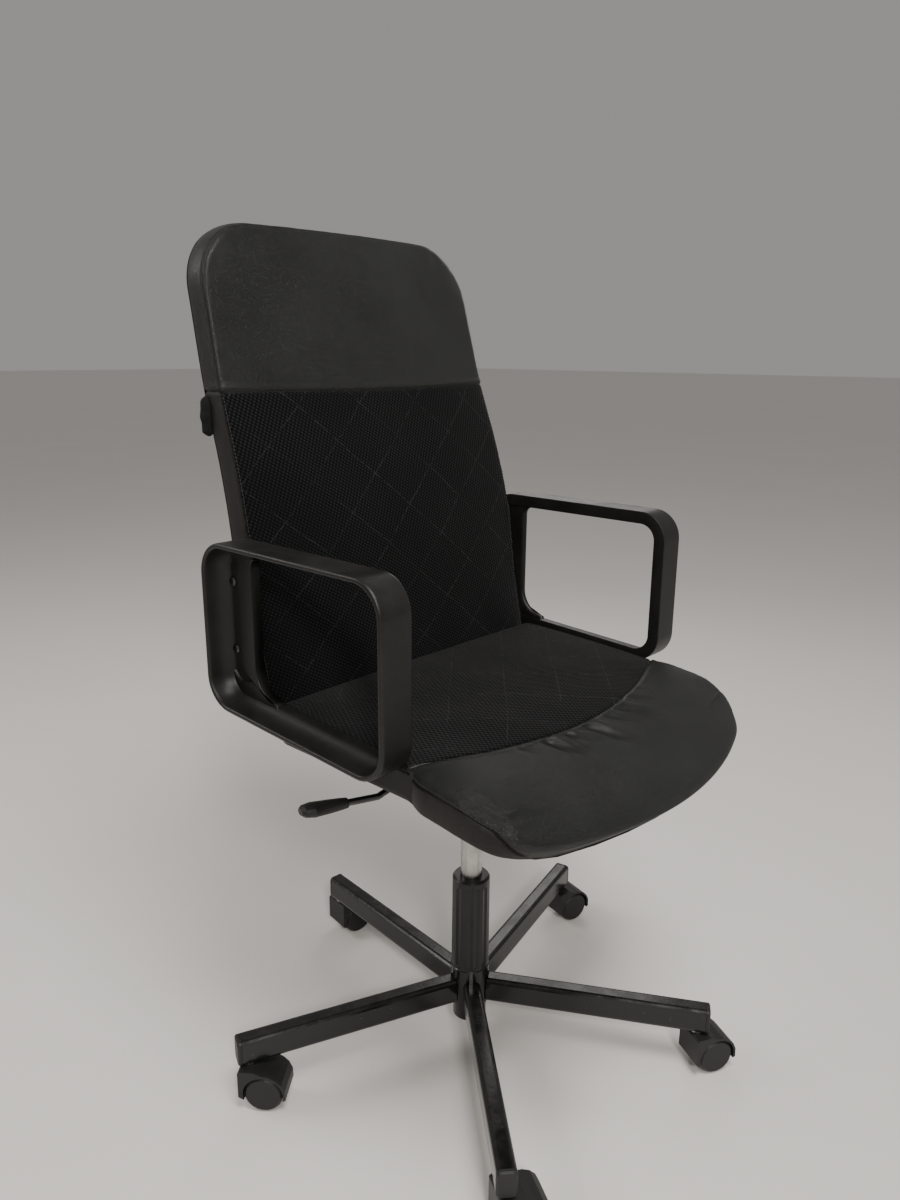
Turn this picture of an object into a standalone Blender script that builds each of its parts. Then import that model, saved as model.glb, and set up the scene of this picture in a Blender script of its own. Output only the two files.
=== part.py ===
"""Swivel office chair: five-leg castored base, gas column, tilt mechanism,
upholstered seat and high back joined by two closed-loop armrests.

Units are metres and +Z is up.  The chair is laid out about its swivel axis, with the sitter
looking along -Y and the sitter's left at +X.  Every point is then moved by ROW_SHIFT, so that
the origin lies under the middle of the whole chair."""
import math

import bmesh
import bpy
from mathutils import Matrix, Vector

# ---------------------------------------------------------------- driving dimensions
GAP = 0.0003                      # clearance between neighbouring pieces
ROW_SHIFT = Vector((-0.0243, -0.0092, 0.0))   # swivel axis in the finished part's own frame

# base
LEG_COUNT = 5
FIRST_LEG_DEG = 156.4             # direction of leg 1, from +X
LEG_REACH = 0.3190                # swivel axis to the outer face of a leg's end cap
LEG_WIDTH = 0.0235
LEG_HEIGHT = 0.0345
LEG_BOTTOM = 0.0597
LEG_WALL = 0.0018
LEG_CORNER = 0.0055
CAP_THICKNESS = 0.0050
HUB_BOTTOM = 0.0330
HUB_TOP = 0.1125

# column
CYLINDER_RADIUS = 0.0140
CYLINDER_BOTTOM = 0.1500
CYLINDER_TOP = 0.4300
SLEEVE_WALL = 0.0030               # wall of the sleeve's foot
HUB_BORE = CYLINDER_RADIUS + SLEEVE_WALL + 0.0010
HUB_FOOT_RADIUS = HUB_BORE + 0.0048
HUB_RADIUS = HUB_BORE + 0.0080
SLEEVE_TOP = 0.2465
SLEEVE_RADIUS = HUB_BORE + 0.0072
COLLAR_HEIGHT = 0.0110
FLUTE_COUNT = 12
FLUTE_DEPTH = 0.0011
ROD_RADIUS = 0.0050

# casters
STEM_RADIUS_FROM_AXIS = LEG_REACH - 0.0155
STEM_PIN_RADIUS = 0.0045
CASTER_TRAIL = 0.0210             # swivel axis of a caster to its axle
WHEEL_RADIUS = 0.0243
WHEEL_WIDTH = 0.0130
WHEEL_SEGMENTS = 24
WEB_HALF_WIDTH = 0.0070           # centre web that carries the axle
HOOD_HALF_WIDTH = 0.0212
HOOD_WALL = 0.0032
AXLE_RADIUS = 0.0030
CASTER_TRAIL_DEG = (-52.0, -8.0, -15.0, -29.0, -30.0)   # where each wheel pair trails, from +X

# seat
SEAT_HALF_WIDTH = 0.2411          # widest, in front of the armrests
SEAT_REAR_HALF_WIDTH = 0.2312     # between the armrests
SEAT_REAR = 0.0970
SEAT_FRONT = -0.2984
SEAT_FRONT_RADIUS = 0.5170        # arc of the front edge in plan
SEAT_CORNER = 0.0624              # reach of the front corners' rounding
SEAT_CROWN = 0.0100
SEAT_BOARD_BOTTOM = 0.4790        # underside of the board, where it rests on the bracket
SEAT_SEAM = ((-0.31, 0.4690), (-0.28, 0.4773), (-0.25, 0.4858), (-0.22, 0.4974),
             (-0.19, 0.5085), (-0.12, 0.5170), (0.0, 0.5240), (0.10, 0.5270))
SEAT_UNDER = ((-0.31, 0.4549), (-0.28, 0.4525), (-0.25, 0.4550), (-0.22, 0.4640), (-0.19, 0.4715),
              (-0.13, 0.4780), (-0.08, SEAT_BOARD_BOTTOM), (0.10, SEAT_BOARD_BOTTOM))
BOARD_THICKNESS = 0.0120
SEAT_SKIRT = 0.0090               # padding that wraps over the edge of the board

# back
BACK_TOP = 1.0560
BACK_BOTTOM = 0.5000
BACK_HALF_WIDTH = SEAT_REAR_HALF_WIDTH
BACK_TOP_HALF_WIDTH = 0.2160
BACK_CORNER = 0.0800
BACK_SEAM = ((0.48, 0.0950), (0.545, 0.1080), (0.60, 0.1190), (0.70, 0.1330), (0.78, 0.1530),
             (0.87, 0.1830), (0.96, 0.2065), (1.07, 0.2350))       # height, y of the front seam
BACK_DEPTH = 0.0380
BACK_CROWN = 0.0110
BACK_BOARD_THICKNESS = 0.0120
BACK_SKIRT = 0.0080
COVER_THICKNESS = 0.0040

# armrests
ARM_INNER = BACK_HALF_WIDTH + 0.0008   # distance of the inner face from the middle of the chair
ARM_OUTER = ARM_INNER + 0.0407
ARM_FRONT = -0.1223
BOLT_Y = 0.1120 + BACK_DEPTH       # the bolts run into the middle of the back's board
ARM_REAR = BOLT_Y + 0.0190
ARM_TOP = 0.7134
ARM_BOTTOM_FRONT = 0.5065
ARM_BOTTOM_REAR = 0.5205
ARM_CORNER = 0.0380
ARM_RIM = 0.0060                  # thickness at the outer rim
ARM_ROOT = 0.0165                 # thickness at the inner face
WEB_FRONT = BOLT_Y - 0.0370                # front edge of the plate along the rear bar
WEB_OUTER = ARM_INNER + 0.0140                # its outer face
CHANNEL = (BOLT_Y - 0.0130, BOLT_Y + 0.0100)        # y range of the screw channel in that plate
CHANNEL_DEPTH = 0.0035
BOLT_HEIGHTS = (0.6636, 0.5840)
BOLT_RADIUS = 0.0030

# tilt mechanism
HOUSING_HALF_WIDTH = 0.0450
HOUSING_FRONT = -0.1050
HOUSING_REAR = 0.0550
HOUSING_BOTTOM = 0.4150
HOUSING_WALL = 0.0030
TILT_Y = -0.0700
TILT_Z = 0.4500
TILT_BAR_RADIUS = 0.0060
BRACKET_TOP = SEAT_BOARD_BOTTOM - 4 * GAP
BRACKET_BOTTOM = BRACKET_TOP - 0.0033
KNOB_Y = -0.0820
LEVER_PIVOT = Vector((-0.0435, 0.0, 0.4405))
LEVER_PATH = ((0.0080, 0.0, 0.4405), (-0.0435, 0.0, 0.4405), (-0.1250, -0.0060, 0.4330),
              (-0.1740, -0.0090, 0.4275))          # then along the grip's own axis
LEVER_RADIUS = 0.0039
GRIP_START = Vector((-0.2140, -0.0014, 0.4322))
GRIP_END = Vector((-0.2680, 0.0120, 0.4370))


# ---------------------------------------------------------------- scene and materials
def clear_scene():
    for obj in list(bpy.data.objects):
        bpy.data.objects.remove(obj, do_unlink=True)


def material(name, colour, metallic=0.0, roughness=0.5):
    found = bpy.data.materials.get(name)
    if found:
        return found
    mat = bpy.data.materials.new(name)
    mat.use_nodes = True
    shader = mat.node_tree.nodes["Principled BSDF"]
    shader.inputs["Base Color"].default_value = (*colour, 1.0)
    shader.inputs["Metallic"].default_value = metallic
    shader.inputs["Roughness"].default_value = roughness
    mat.diffuse_color = (*colour, 1.0)
    return mat


def black_paint():
    return material("black_paint", (0.020, 0.020, 0.021), 0.2, 0.30)


def black_plastic():
    return material("black_plastic", (0.030, 0.030, 0.031), 0.0, 0.50)


def bright_steel():
    return material("bright_steel", (0.50, 0.50, 0.49), 1.0, 0.30)


def plywood():
    return material("plywood", (0.42, 0.28, 0.15), 0.0, 0.65)


def black_leather():
    return material("black_leather", (0.025, 0.025, 0.027), 0.0, 0.42)


def black_fabric():
    return material("black_fabric", (0.018, 0.018, 0.020), 0.0, 0.90)


# ---------------------------------------------------------------- mesh helpers
def add_piece(name, verts, faces, mat, origin=(0.0, 0.0, 0.0), smooth_deg=35.0):
    """Make one closed body from points given about the swivel axis."""
    origin = Vector(origin)
    mesh = bpy.data.meshes.new(name)
    mesh.from_pydata([tuple(Vector(v) - origin) for v in verts], [], faces)
    work = bmesh.new()
    work.from_mesh(mesh)
    bmesh.ops.recalc_face_normals(work, faces=work.faces)
    work.to_mesh(mesh)
    work.free()
    mesh.materials.append(mat)
    mesh.shade_smooth()
    mesh.set_sharp_from_angle(angle=math.radians(smooth_deg))
    obj = bpy.data.objects.new(name, mesh)
    obj.location = origin + ROW_SHIFT
    bpy.context.scene.collection.objects.link(obj)
    return obj


def cut(target, cutter, operation="DIFFERENCE"):
    cutter.hide_render = True
    cutter.display_type = "WIRE"
    modifier = target.modifiers.new(cutter.name, "BOOLEAN")
    modifier.operation = operation
    modifier.solver = "EXACT"
    modifier.object = cutter


def ring_faces(ring_sizes, closed=False):
    """Quads between successive rings; a ring of size 1 is a pole."""
    faces = []
    starts = [sum(ring_sizes[:i]) for i in range(len(ring_sizes))]
    pairs = [(i, i + 1) for i in range(len(ring_sizes) - 1)]
    if closed:
        pairs.append((len(ring_sizes) - 1, 0))
    for a, b in pairs:
        count = max(ring_sizes[a], ring_sizes[b])
        for k in range(count):
            n = (k + 1) % count
            a0, a1 = starts[a] + k % ring_sizes[a], starts[a] + n % ring_sizes[a]
            b0, b1 = starts[b] + k % ring_sizes[b], starts[b] + n % ring_sizes[b]
            corners = [a0, a1, b1, b0]
            faces.append([c for i, c in enumerate(corners) if c != corners[i - 1]])
    return faces


def revolved(profile, segments, closed=False, phase=0.0, flute=None):
    """Turn (radius, height) points about +Z.  A closed profile makes a ring."""
    verts, sizes = [], []
    for index, (radius, height) in enumerate(profile):
        if radius < 1e-6:
            verts.append(Vector((0.0, 0.0, height)))
            sizes.append(1)
            continue
        for k in range(segments):
            turn = 2.0 * math.pi * (k + phase) / segments
            r = radius - (flute(index, k) if flute else 0.0)
            verts.append(Vector((r * math.cos(turn), r * math.sin(turn), height)))
        sizes.append(segments)
    return verts, ring_faces(sizes, closed)


def moved(verts, matrix):
    return [matrix @ Vector(v) for v in verts]


def aim(direction, at=(0.0, 0.0, 0.0)):
    """Matrix that carries +Z onto a direction and the origin onto a point."""
    turn = Vector(direction).to_track_quat("Z", "Y").to_matrix().to_4x4()
    return Matrix.Translation(Vector(at)) @ turn


def box(low, high):
    (x0, y0, z0), (x1, y1, z1) = low, high
    verts = [Vector((x, y, z)) for z in (z0, z1) for y in (y0, y1) for x in (x0, x1)]
    faces = [[0, 1, 3, 2], [4, 6, 7, 5], [0, 4, 5, 1], [2, 3, 7, 6], [0, 2, 6, 4], [1, 5, 7, 3]]
    return verts, faces


def rounded_rectangle(half_w, half_h, radius, steps=3):
    points = []
    for cx, cy, start in ((1, 1, 0), (-1, 1, 90), (-1, -1, 180), (1, -1, 270)):
        for k in range(steps + 1):
            turn = math.radians(start + 90.0 * k / steps)
            x = cx * (half_w - radius) + radius * math.cos(turn)
            y = cy * (half_h - radius) + radius * math.sin(turn)
            points.append((x, y))
    return points


def extruded(outline, low, high, place):
    """Prism from a 2-D outline; place(u, v, w) gives the point at height w."""
    count = len(outline)
    verts = [place(u, v, low) for u, v in outline] + [place(u, v, high) for u, v in outline]
    faces = [[k, (k + 1) % count, count + (k + 1) % count, count + k] for k in range(count)]
    faces.append(list(range(count)))
    faces.append(list(range(2 * count - 1, count - 1, -1)))
    return verts, faces


def smooth_value(stations, at):
    """Smooth interpolation through (position, value) stations."""
    count = len(stations)
    at = min(max(at, stations[0][0]), stations[-1][0])
    i = max(k for k in range(count - 1) if stations[k][0] <= at)

    def slope(k):
        a, b = stations[max(k - 1, 0)], stations[min(k + 1, count - 1)]
        return (b[1] - a[1]) / (b[0] - a[0])

    (x0, y0), (x1, y1) = stations[i], stations[i + 1]
    step = x1 - x0
    t = (at - x0) / step
    return (y0 * (1 + 2 * t) * (1 - t) ** 2 + slope(i) * step * t * (1 - t) ** 2
            + y1 * t * t * (3 - 2 * t) + slope(i + 1) * step * t * t * (t - 1))


def inset(outline, amount):
    """Move a closed counter-clockwise outline inwards along its normals."""
    result = []
    count = len(outline)
    for k in range(count):
        before, after = Vector(outline[k - 1]), Vector(outline[(k + 1) % count])
        along = (after - before).normalized()
        result.append((outline[k][0] - along.y * amount, outline[k][1] + along.x * amount))
    return result


def shrunk(outline, factor, centre):
    return [(centre[0] + (u - centre[0]) * factor, centre[1] + (v - centre[1]) * factor)
            for u, v in outline]


def layered(rings, place):
    """Closed skin through rings of (u, v) points, each with its own depth."""
    verts, sizes = [], []
    for outline, depth in rings:
        verts.extend(place(u, v, depth) for u, v in outline)
        sizes.append(len(outline))
    return verts, ring_faces(sizes)


# ---------------------------------------------------------------- base
def leg_direction(index):
    turn = math.radians(FIRST_LEG_DEG - index * 360.0 / LEG_COUNT)
    return Vector((math.cos(turn), math.sin(turn), 0.0))


def leg_matrix(index):
    """Leg frame: +X along the leg, +Y across it, +Z up, origin at the leg's mid height."""
    along = leg_direction(index)
    across = Vector((-along.y, along.x, 0.0))
    turn = Matrix((along, across, Vector((0.0, 0.0, 1.0)))).transposed().to_4x4()
    return Matrix.Translation((0.0, 0.0, LEG_BOTTOM + LEG_HEIGHT / 2.0)) @ turn


def build_hub():
    profile = [(HUB_BORE, HUB_BOTTOM), (HUB_FOOT_RADIUS - 0.001, HUB_BOTTOM),
               (HUB_FOOT_RADIUS, HUB_BOTTOM + 0.001), (HUB_FOOT_RADIUS, LEG_BOTTOM - 0.004),
               (HUB_RADIUS, LEG_BOTTOM - 0.002), (HUB_RADIUS, HUB_TOP - 0.0015),
               (HUB_RADIUS - 0.0015, HUB_TOP), (HUB_BORE, HUB_TOP)]
    verts, faces = revolved(profile, 36, closed=True)
    add_piece("hub", verts, faces, black_paint())


def build_leg(index):
    matrix = leg_matrix(index)
    outer = rounded_rectangle(LEG_WIDTH / 2, LEG_HEIGHT / 2, LEG_CORNER)
    inner = rounded_rectangle(LEG_WIDTH / 2 - LEG_WALL, LEG_HEIGHT / 2 - LEG_WALL,
                              LEG_CORNER - LEG_WALL)
    far = LEG_REACH - CAP_THICKNESS - GAP

    def root(y):
        return math.sqrt((HUB_RADIUS + 0.001) ** 2 - y * y)

    rings = [[(root(y), y, z) for y, z in outer], [(far, y, z) for y, z in outer],
             [(far, y, z) for y, z in inner], [(root(y), y, z) for y, z in inner]]
    verts = moved([p for ring in rings for p in ring], matrix)
    leg = add_piece(f"leg_{index + 1}", verts, ring_faces([len(outer)] * 4, closed=True),
                    black_paint())
    pin = leg_direction(index) * STEM_RADIUS_FROM_AXIS
    verts, faces = revolved([(0.0, LEG_BOTTOM - 0.01), (STEM_PIN_RADIUS + GAP, LEG_BOTTOM - 0.01),
                             (STEM_PIN_RADIUS + GAP, LEG_BOTTOM + 0.01), (0.0, LEG_BOTTOM + 0.01)],
                            12)
    verts = moved(verts, Matrix.Translation(pin))
    cut(leg, add_piece(f"stem_hole_{index + 1}", verts, faces, black_paint()))


def build_leg_cap(index):
    matrix = leg_matrix(index)
    outline = rounded_rectangle(LEG_WIDTH / 2, LEG_HEIGHT / 2, LEG_CORNER)
    small = rounded_rectangle(LEG_WIDTH / 2 - 0.0018, LEG_HEIGHT / 2 - 0.0018,
                              LEG_CORNER - 0.0015)
    start = LEG_REACH - CAP_THICKNESS
    rings = [[(start, 0.0, 0.0)], [(start, y, z) for y, z in outline],
             [(LEG_REACH - 0.0018, y, z) for y, z in outline],
             [(LEG_REACH, y, z) for y, z in small], [(LEG_REACH, 0.0, 0.0)]]
    verts = moved([p for ring in rings for p in ring], matrix)
    add_piece(f"leg_cap_{index + 1}", verts, ring_faces([len(r) for r in rings]),
              black_plastic())


# ---------------------------------------------------------------- column
def build_column_sleeve():
    """Fluted outer tube: a stepped foot inside the hub, and a guide collar at the top."""
    flute_rows = (5, 6)

    def flute(index, k):
        if index not in flute_rows:
            return 0.0
        return FLUTE_DEPTH if k % 3 == 0 else 0.0

    seat = HUB_TOP + GAP
    lower = HUB_BOTTOM + 0.003
    collar = SLEEVE_TOP - COLLAR_HEIGHT
    bore = HUB_BORE - GAP - SLEEVE_WALL
    profile = [(ROD_RADIUS + GAP, lower), (HUB_BORE - GAP, lower), (HUB_BORE - GAP, seat),
               (SLEEVE_RADIUS, seat), (SLEEVE_RADIUS, seat + 0.003),
               (SLEEVE_RADIUS, seat + 0.006),
               (SLEEVE_RADIUS - 0.0004, collar - 0.003), (SLEEVE_RADIUS - 0.0004, collar),
               (SLEEVE_RADIUS - 0.0004, SLEEVE_TOP - 0.003), (SLEEVE_RADIUS - 0.003, SLEEVE_TOP),
               (CYLINDER_RADIUS + GAP, SLEEVE_TOP),
               (CYLINDER_RADIUS + GAP, SLEEVE_TOP - 0.030), (bore, SLEEVE_TOP - 0.030),
               (bore, lower + 0.006), (ROD_RADIUS + GAP, lower + 0.006)]
    verts, faces = revolved(profile, 3 * FLUTE_COUNT, closed=True, flute=flute)
    add_piece("column_sleeve", verts, faces, black_plastic(), smooth_deg=40.0)


def build_piston_rod():
    foot = HUB_BOTTOM + 0.009 + GAP
    profile = [(0.0, HUB_BOTTOM + 0.002), (ROD_RADIUS, HUB_BOTTOM + 0.002), (ROD_RADIUS, foot),
               (0.0110, foot), (0.0110, foot + 0.004), (ROD_RADIUS, foot + 0.004),
               (ROD_RADIUS, 0.195), (0.0116, 0.195), (0.0116, 0.207), (0.0, 0.207)]
    verts, faces = revolved(profile, 16)
    add_piece("piston_rod", verts, faces, bright_steel())


def build_gas_cylinder():
    bore = CYLINDER_RADIUS - 0.0018
    profile = [(bore, CYLINDER_BOTTOM), (CYLINDER_RADIUS, CYLINDER_BOTTOM),
               (CYLINDER_RADIUS, CYLINDER_TOP - 0.002), (CYLINDER_RADIUS - 0.002, CYLINDER_TOP),
               (0.0043, CYLINDER_TOP), (0.0043, CYLINDER_TOP - 0.018), (0.0, CYLINDER_TOP - 0.018)]
    inside = [(0.0, CYLINDER_TOP - 0.030), (bore, CYLINDER_TOP - 0.030)]
    verts, faces = revolved(inside + profile, 24)
    add_piece("gas_cylinder", verts, faces, bright_steel())


def build_release_button():
    profile = [(0.0, CYLINDER_TOP - 0.010), (0.0040, CYLINDER_TOP - 0.010),
               (0.0040, CYLINDER_TOP + 0.0052), (0.0032, CYLINDER_TOP + 0.0062),
               (0.0, CYLINDER_TOP + 0.0062)]
    verts, faces = revolved(profile, 16)
    add_piece("release_button", verts, faces, bright_steel(), origin=(0, 0, CYLINDER_TOP))


# ---------------------------------------------------------------- casters
def caster_frame(index):
    """Stem position, trailing direction and axle centre of one caster."""
    stem = leg_direction(index) * STEM_RADIUS_FROM_AXIS
    turn = math.radians(CASTER_TRAIL_DEG[index])
    trail = Vector((math.cos(turn), math.sin(turn), 0.0))
    height = WHEEL_RADIUS * math.cos(math.pi / WHEEL_SEGMENTS)
    axle = stem + trail * CASTER_TRAIL + Vector((0.0, 0.0, height))
    return stem, trail, axle


def build_caster_stem(index):
    stem, _, _ = caster_frame(index)
    collar_top = LEG_BOTTOM - GAP
    profile = [(0.0, 0.0300), (STEM_PIN_RADIUS, 0.0300), (STEM_PIN_RADIUS, collar_top - 0.002),
               (0.0085, collar_top - 0.002), (0.0085, collar_top), (STEM_PIN_RADIUS, collar_top),
               (STEM_PIN_RADIUS, collar_top + 0.014), (0.0, collar_top + 0.014)]
    verts, faces = revolved(profile, 12)
    add_piece(f"caster_stem_{index + 1}", moved(verts, Matrix.Translation(stem)), faces,
              bright_steel())


def hood_outline(height):
    """Side view of the hood about the axle: an arc over the wheels, and a boss for the stem."""
    radius = WHEEL_RADIUS + 0.0012 + HOOD_WALL
    top = LEG_BOTTOM - 0.0022 - 2 * GAP - height
    boss = CASTER_TRAIL + 0.0100
    arc = [math.radians(turn) for turn in (-10, 15, 35, 55, 75, 92)]
    points = [(radius * math.cos(turn), radius * math.sin(turn)) for turn in arc]
    points += [(-0.0110, top), (-boss + 0.002, top), (-boss, top - 0.002), (-boss, -0.0040),
               (-0.0120, -0.0140), (0.0090, -0.0140)]
    return points


def build_caster_hood(index):
    stem, trail, axle = caster_frame(index)
    across = Vector((-trail.y, trail.x, 0.0))
    up = Vector((0.0, 0.0, 1.0))

    def place(u, v, w):
        return axle + trail * u + up * v + across * w

    verts, faces = extruded(hood_outline(axle.z), -HOOD_HALF_WIDTH, HOOD_HALF_WIDTH, place)
    hood = add_piece(f"caster_hood_{index + 1}", verts, faces, black_plastic(), origin=stem)
    radius = WHEEL_RADIUS + 0.0012
    for side, name in ((1, "a"), (-1, "b")):
        verts, faces = revolved([(0.0, 0.0), (radius, 0.0), (radius, 0.030), (0.0, 0.030)], 24)
        start = axle + across * side * WEB_HALF_WIDTH
        cut(hood, add_piece(f"wheel_well_{index + 1}{name}", moved(verts, aim(across * side, start)),
                            faces, black_plastic()))
    reach = AXLE_RADIUS + GAP
    verts, faces = revolved([(0.0, -0.03), (reach, -0.03), (reach, 0.03), (0.0, 0.03)], 12)
    cut(hood, add_piece(f"axle_hole_{index + 1}", moved(verts, aim(across, axle)), faces,
                        black_plastic()))
    reach = STEM_PIN_RADIUS + GAP
    verts, faces = revolved([(0.0, 0.0290), (reach, 0.0290), (reach, 0.0700), (0.0, 0.0700)], 12)
    cut(hood, add_piece(f"pin_hole_{index + 1}", moved(verts, Matrix.Translation(stem)), faces,
                        black_plastic()))


def build_caster_axle(index):
    _, trail, axle = caster_frame(index)
    across = Vector((-trail.y, trail.x, 0.0))
    half = WEB_HALF_WIDTH + 0.0105
    verts, faces = revolved([(0.0, -half), (AXLE_RADIUS, -half), (AXLE_RADIUS, half), (0.0, half)],
                            12)
    add_piece(f"caster_axle_{index + 1}", moved(verts, aim(across, axle)), faces, bright_steel())


def build_wheel(index, side, name):
    """One of the twin wheels: a tyre-edged disc with a domed, dished outer face."""
    _, trail, axle = caster_frame(index)
    across = Vector((-trail.y, trail.x, 0.0)) * side
    start = WEB_HALF_WIDTH + 0.0005
    end = start + WHEEL_WIDTH
    bore = AXLE_RADIUS + 0.0002
    profile = [(bore, start), (WHEEL_RADIUS - 0.0020, start), (WHEEL_RADIUS, start + 0.0020),
               (WHEEL_RADIUS, end - 0.0030), (WHEEL_RADIUS - 0.0030, end), (0.0, end),
               (0.0, start + 0.0115), (bore, start + 0.0115)]
    verts, faces = ring_skin(profile, WHEEL_SEGMENTS, 0.5)
    up = Vector((0.0, 0.0, 1.0))
    turn = Matrix((up, across.cross(up), across)).transposed().to_4x4()
    verts = moved(verts, Matrix.Translation(axle) @ turn)
    add_piece(f"wheel_{index + 1}{name}", verts, faces, black_plastic(), origin=axle)


def ring_skin(profile, segments, phase):
    """Closed turned skin whose profile touches the axis at two places in a row."""
    verts, sizes = [], []
    for radius, height in profile:
        if radius < 1e-6:
            verts.append(Vector((0.0, 0.0, height)))
            sizes.append(1)
            continue
        for k in range(segments):
            turn = 2.0 * math.pi * (k + phase) / segments
            verts.append(Vector((radius * math.cos(turn), radius * math.sin(turn), height)))
        sizes.append(segments)
    starts = [sum(sizes[:i]) for i in range(len(sizes))]
    faces = []
    for a in range(len(sizes)):
        b = (a + 1) % len(sizes)
        if sizes[a] == 1 and sizes[b] == 1:
            continue
        for k in range(segments):
            n = (k + 1) % segments
            corners = [starts[a] + k % sizes[a], starts[a] + n % sizes[a],
                       starts[b] + n % sizes[b], starts[b] + k % sizes[b]]
            faces.append([c for i, c in enumerate(corners) if c != corners[i - 1]])
    return verts, faces


# ---------------------------------------------------------------- seat
def seat_front_edge(x):
    return SEAT_FRONT + x * x / (2.0 * SEAT_FRONT_RADIUS)


def seat_outline():
    """Plan outline: straight sides between the armrests, rounded corners, and an arced front."""
    side_front = -0.110
    half = []
    for k in range(5):
        half.append((SEAT_REAR_HALF_WIDTH, SEAT_REAR - 0.030 + (side_front - SEAT_REAR + 0.030)
                     * k / 4))
    half.append(((SEAT_REAR_HALF_WIDTH + SEAT_HALF_WIDTH) / 2, side_front - 0.015))
    half.append((SEAT_HALF_WIDTH, side_front - 0.030))
    corner_x = SEAT_HALF_WIDTH - SEAT_CORNER
    start = Vector((SEAT_HALF_WIDTH, seat_front_edge(SEAT_HALF_WIDTH) + SEAT_CORNER))
    middle = Vector((SEAT_HALF_WIDTH, seat_front_edge(SEAT_HALF_WIDTH)))
    end = Vector((corner_x, seat_front_edge(corner_x)))
    for k in range(6):
        t = k / 5
        half.append(tuple(start * (1 - t) ** 2 + middle * 2 * t * (1 - t) + end * t * t))
    for k in range(1, 5):
        x = corner_x * (1 - k / 4)
        half.append((x, seat_front_edge(x)))
    corner = [(SEAT_REAR_HALF_WIDTH - 0.030 * (1 - math.cos(math.radians(t))),
               SEAT_REAR - 0.030 + 0.030 * math.sin(math.radians(t))) for t in (85, 55, 25)]
    right = [(0.0, SEAT_REAR)] + [(0.10, SEAT_REAR)] + corner + half
    left = [(-x, y) for x, y in reversed(right) if x > 1e-6]
    whole = right + left
    return whole[::-1]


def seat_crown(x, y):
    across = max(1.0 - (x / SEAT_HALF_WIDTH) ** 2, 0.0)
    middle = (SEAT_REAR + SEAT_FRONT) / 2
    along = max(1.0 - ((y - middle) / (SEAT_REAR - middle)) ** 2, 0.0)
    return SEAT_CROWN * across * (0.35 + 0.65 * along)


def seat_top(x, y, depth):
    return Vector((x, y, smooth_value(SEAT_SEAM, y) + seat_crown(x, y) - depth))


def seat_under(x, y, depth):
    return Vector((x, y, smooth_value(SEAT_UNDER, y) - depth))


def build_seat_cushion():
    outline = seat_outline()
    centre = (0.0, -0.110)
    top = [(shrunk(inset(outline, 0.012), s, centre), d)
           for s, d in ((0.40, 0.0), (0.75, 0.0), (1.0, 0.0))]
    upper = [([centre], 0.0)] + top + [(inset(outline, 0.004), 0.0022), (outline, 0.0080)]
    verts, sizes = [], []
    for ring, depth in upper:
        verts.extend(seat_top(x, y, depth) for x, y in ring)
        sizes.append(len(ring))
    recess = BOARD_THICKNESS + 4 * GAP
    lower = [(outline, -0.004), (inset(outline, 0.004), 0.0),
             (inset(outline, SEAT_SKIRT), 0.0), (inset(outline, SEAT_SKIRT), -recess),
             (shrunk(inset(outline, SEAT_SKIRT), 0.5, centre), -recess), ([centre], -recess)]
    for ring, depth in lower:
        verts.extend(seat_under(x, y, depth) for x, y in ring)
        sizes.append(len(ring))
    add_piece("seat_cushion", verts, ring_faces(sizes), black_leather(), smooth_deg=50.0)


def build_seat_board():
    outline = inset(seat_outline(), SEAT_SKIRT + GAP)
    centre = (0.0, -0.110)
    rings = [([centre], 0.0), (shrunk(outline, 0.5, centre), 0.0), (outline, 0.0),
             (outline, -BOARD_THICKNESS), (shrunk(outline, 0.5, centre), -BOARD_THICKNESS),
             ([centre], -BOARD_THICKNESS)]
    verts, faces = layered(rings, seat_under)
    add_piece("seat_board", verts, faces, plywood())


# ---------------------------------------------------------------- back
def back_half_width(z):
    blend = min(max((z - 0.66) / (BACK_TOP - BACK_CORNER - 0.66), 0.0), 1.0)
    return BACK_HALF_WIDTH + (BACK_TOP_HALF_WIDTH - BACK_HALF_WIDTH) * blend


def back_outline():
    """Front view of the back, counter-clockwise in (x, z)."""
    right = [(0.0, BACK_BOTTOM), (0.11, BACK_BOTTOM), (BACK_HALF_WIDTH - 0.020, BACK_BOTTOM),
             (BACK_HALF_WIDTH - 0.006, BACK_BOTTOM + 0.006)]
    first, last, steps = BACK_BOTTOM + 0.020, BACK_TOP - BACK_CORNER, 8
    for k in range(steps + 1):
        z = first + (last - first) * k / steps
        right.append((back_half_width(z), z))
    for k in range(1, 6):
        turn = math.radians(90.0 * k / 5)
        right.append((BACK_TOP_HALF_WIDTH - BACK_CORNER * (1 - math.cos(turn)),
                      BACK_TOP - BACK_CORNER + BACK_CORNER * math.sin(turn)))
    right.append((0.065, BACK_TOP + 0.0015))
    right.append((0.0, BACK_TOP + 0.0020))
    left = [(-x, z) for x, z in reversed(right) if x > 1e-6]
    return right + left


def back_place(x, z, depth):
    return Vector((x, smooth_value(BACK_SEAM, z) + depth, z))


def back_crown(x, z):
    across = max(1.0 - (x / BACK_HALF_WIDTH) ** 2, 0.0)
    middle = (BACK_TOP + BACK_BOTTOM) / 2
    along = max(1.0 - ((z - middle) / (BACK_TOP - middle)) ** 4, 0.0)
    return -BACK_CROWN * across * along


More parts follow.
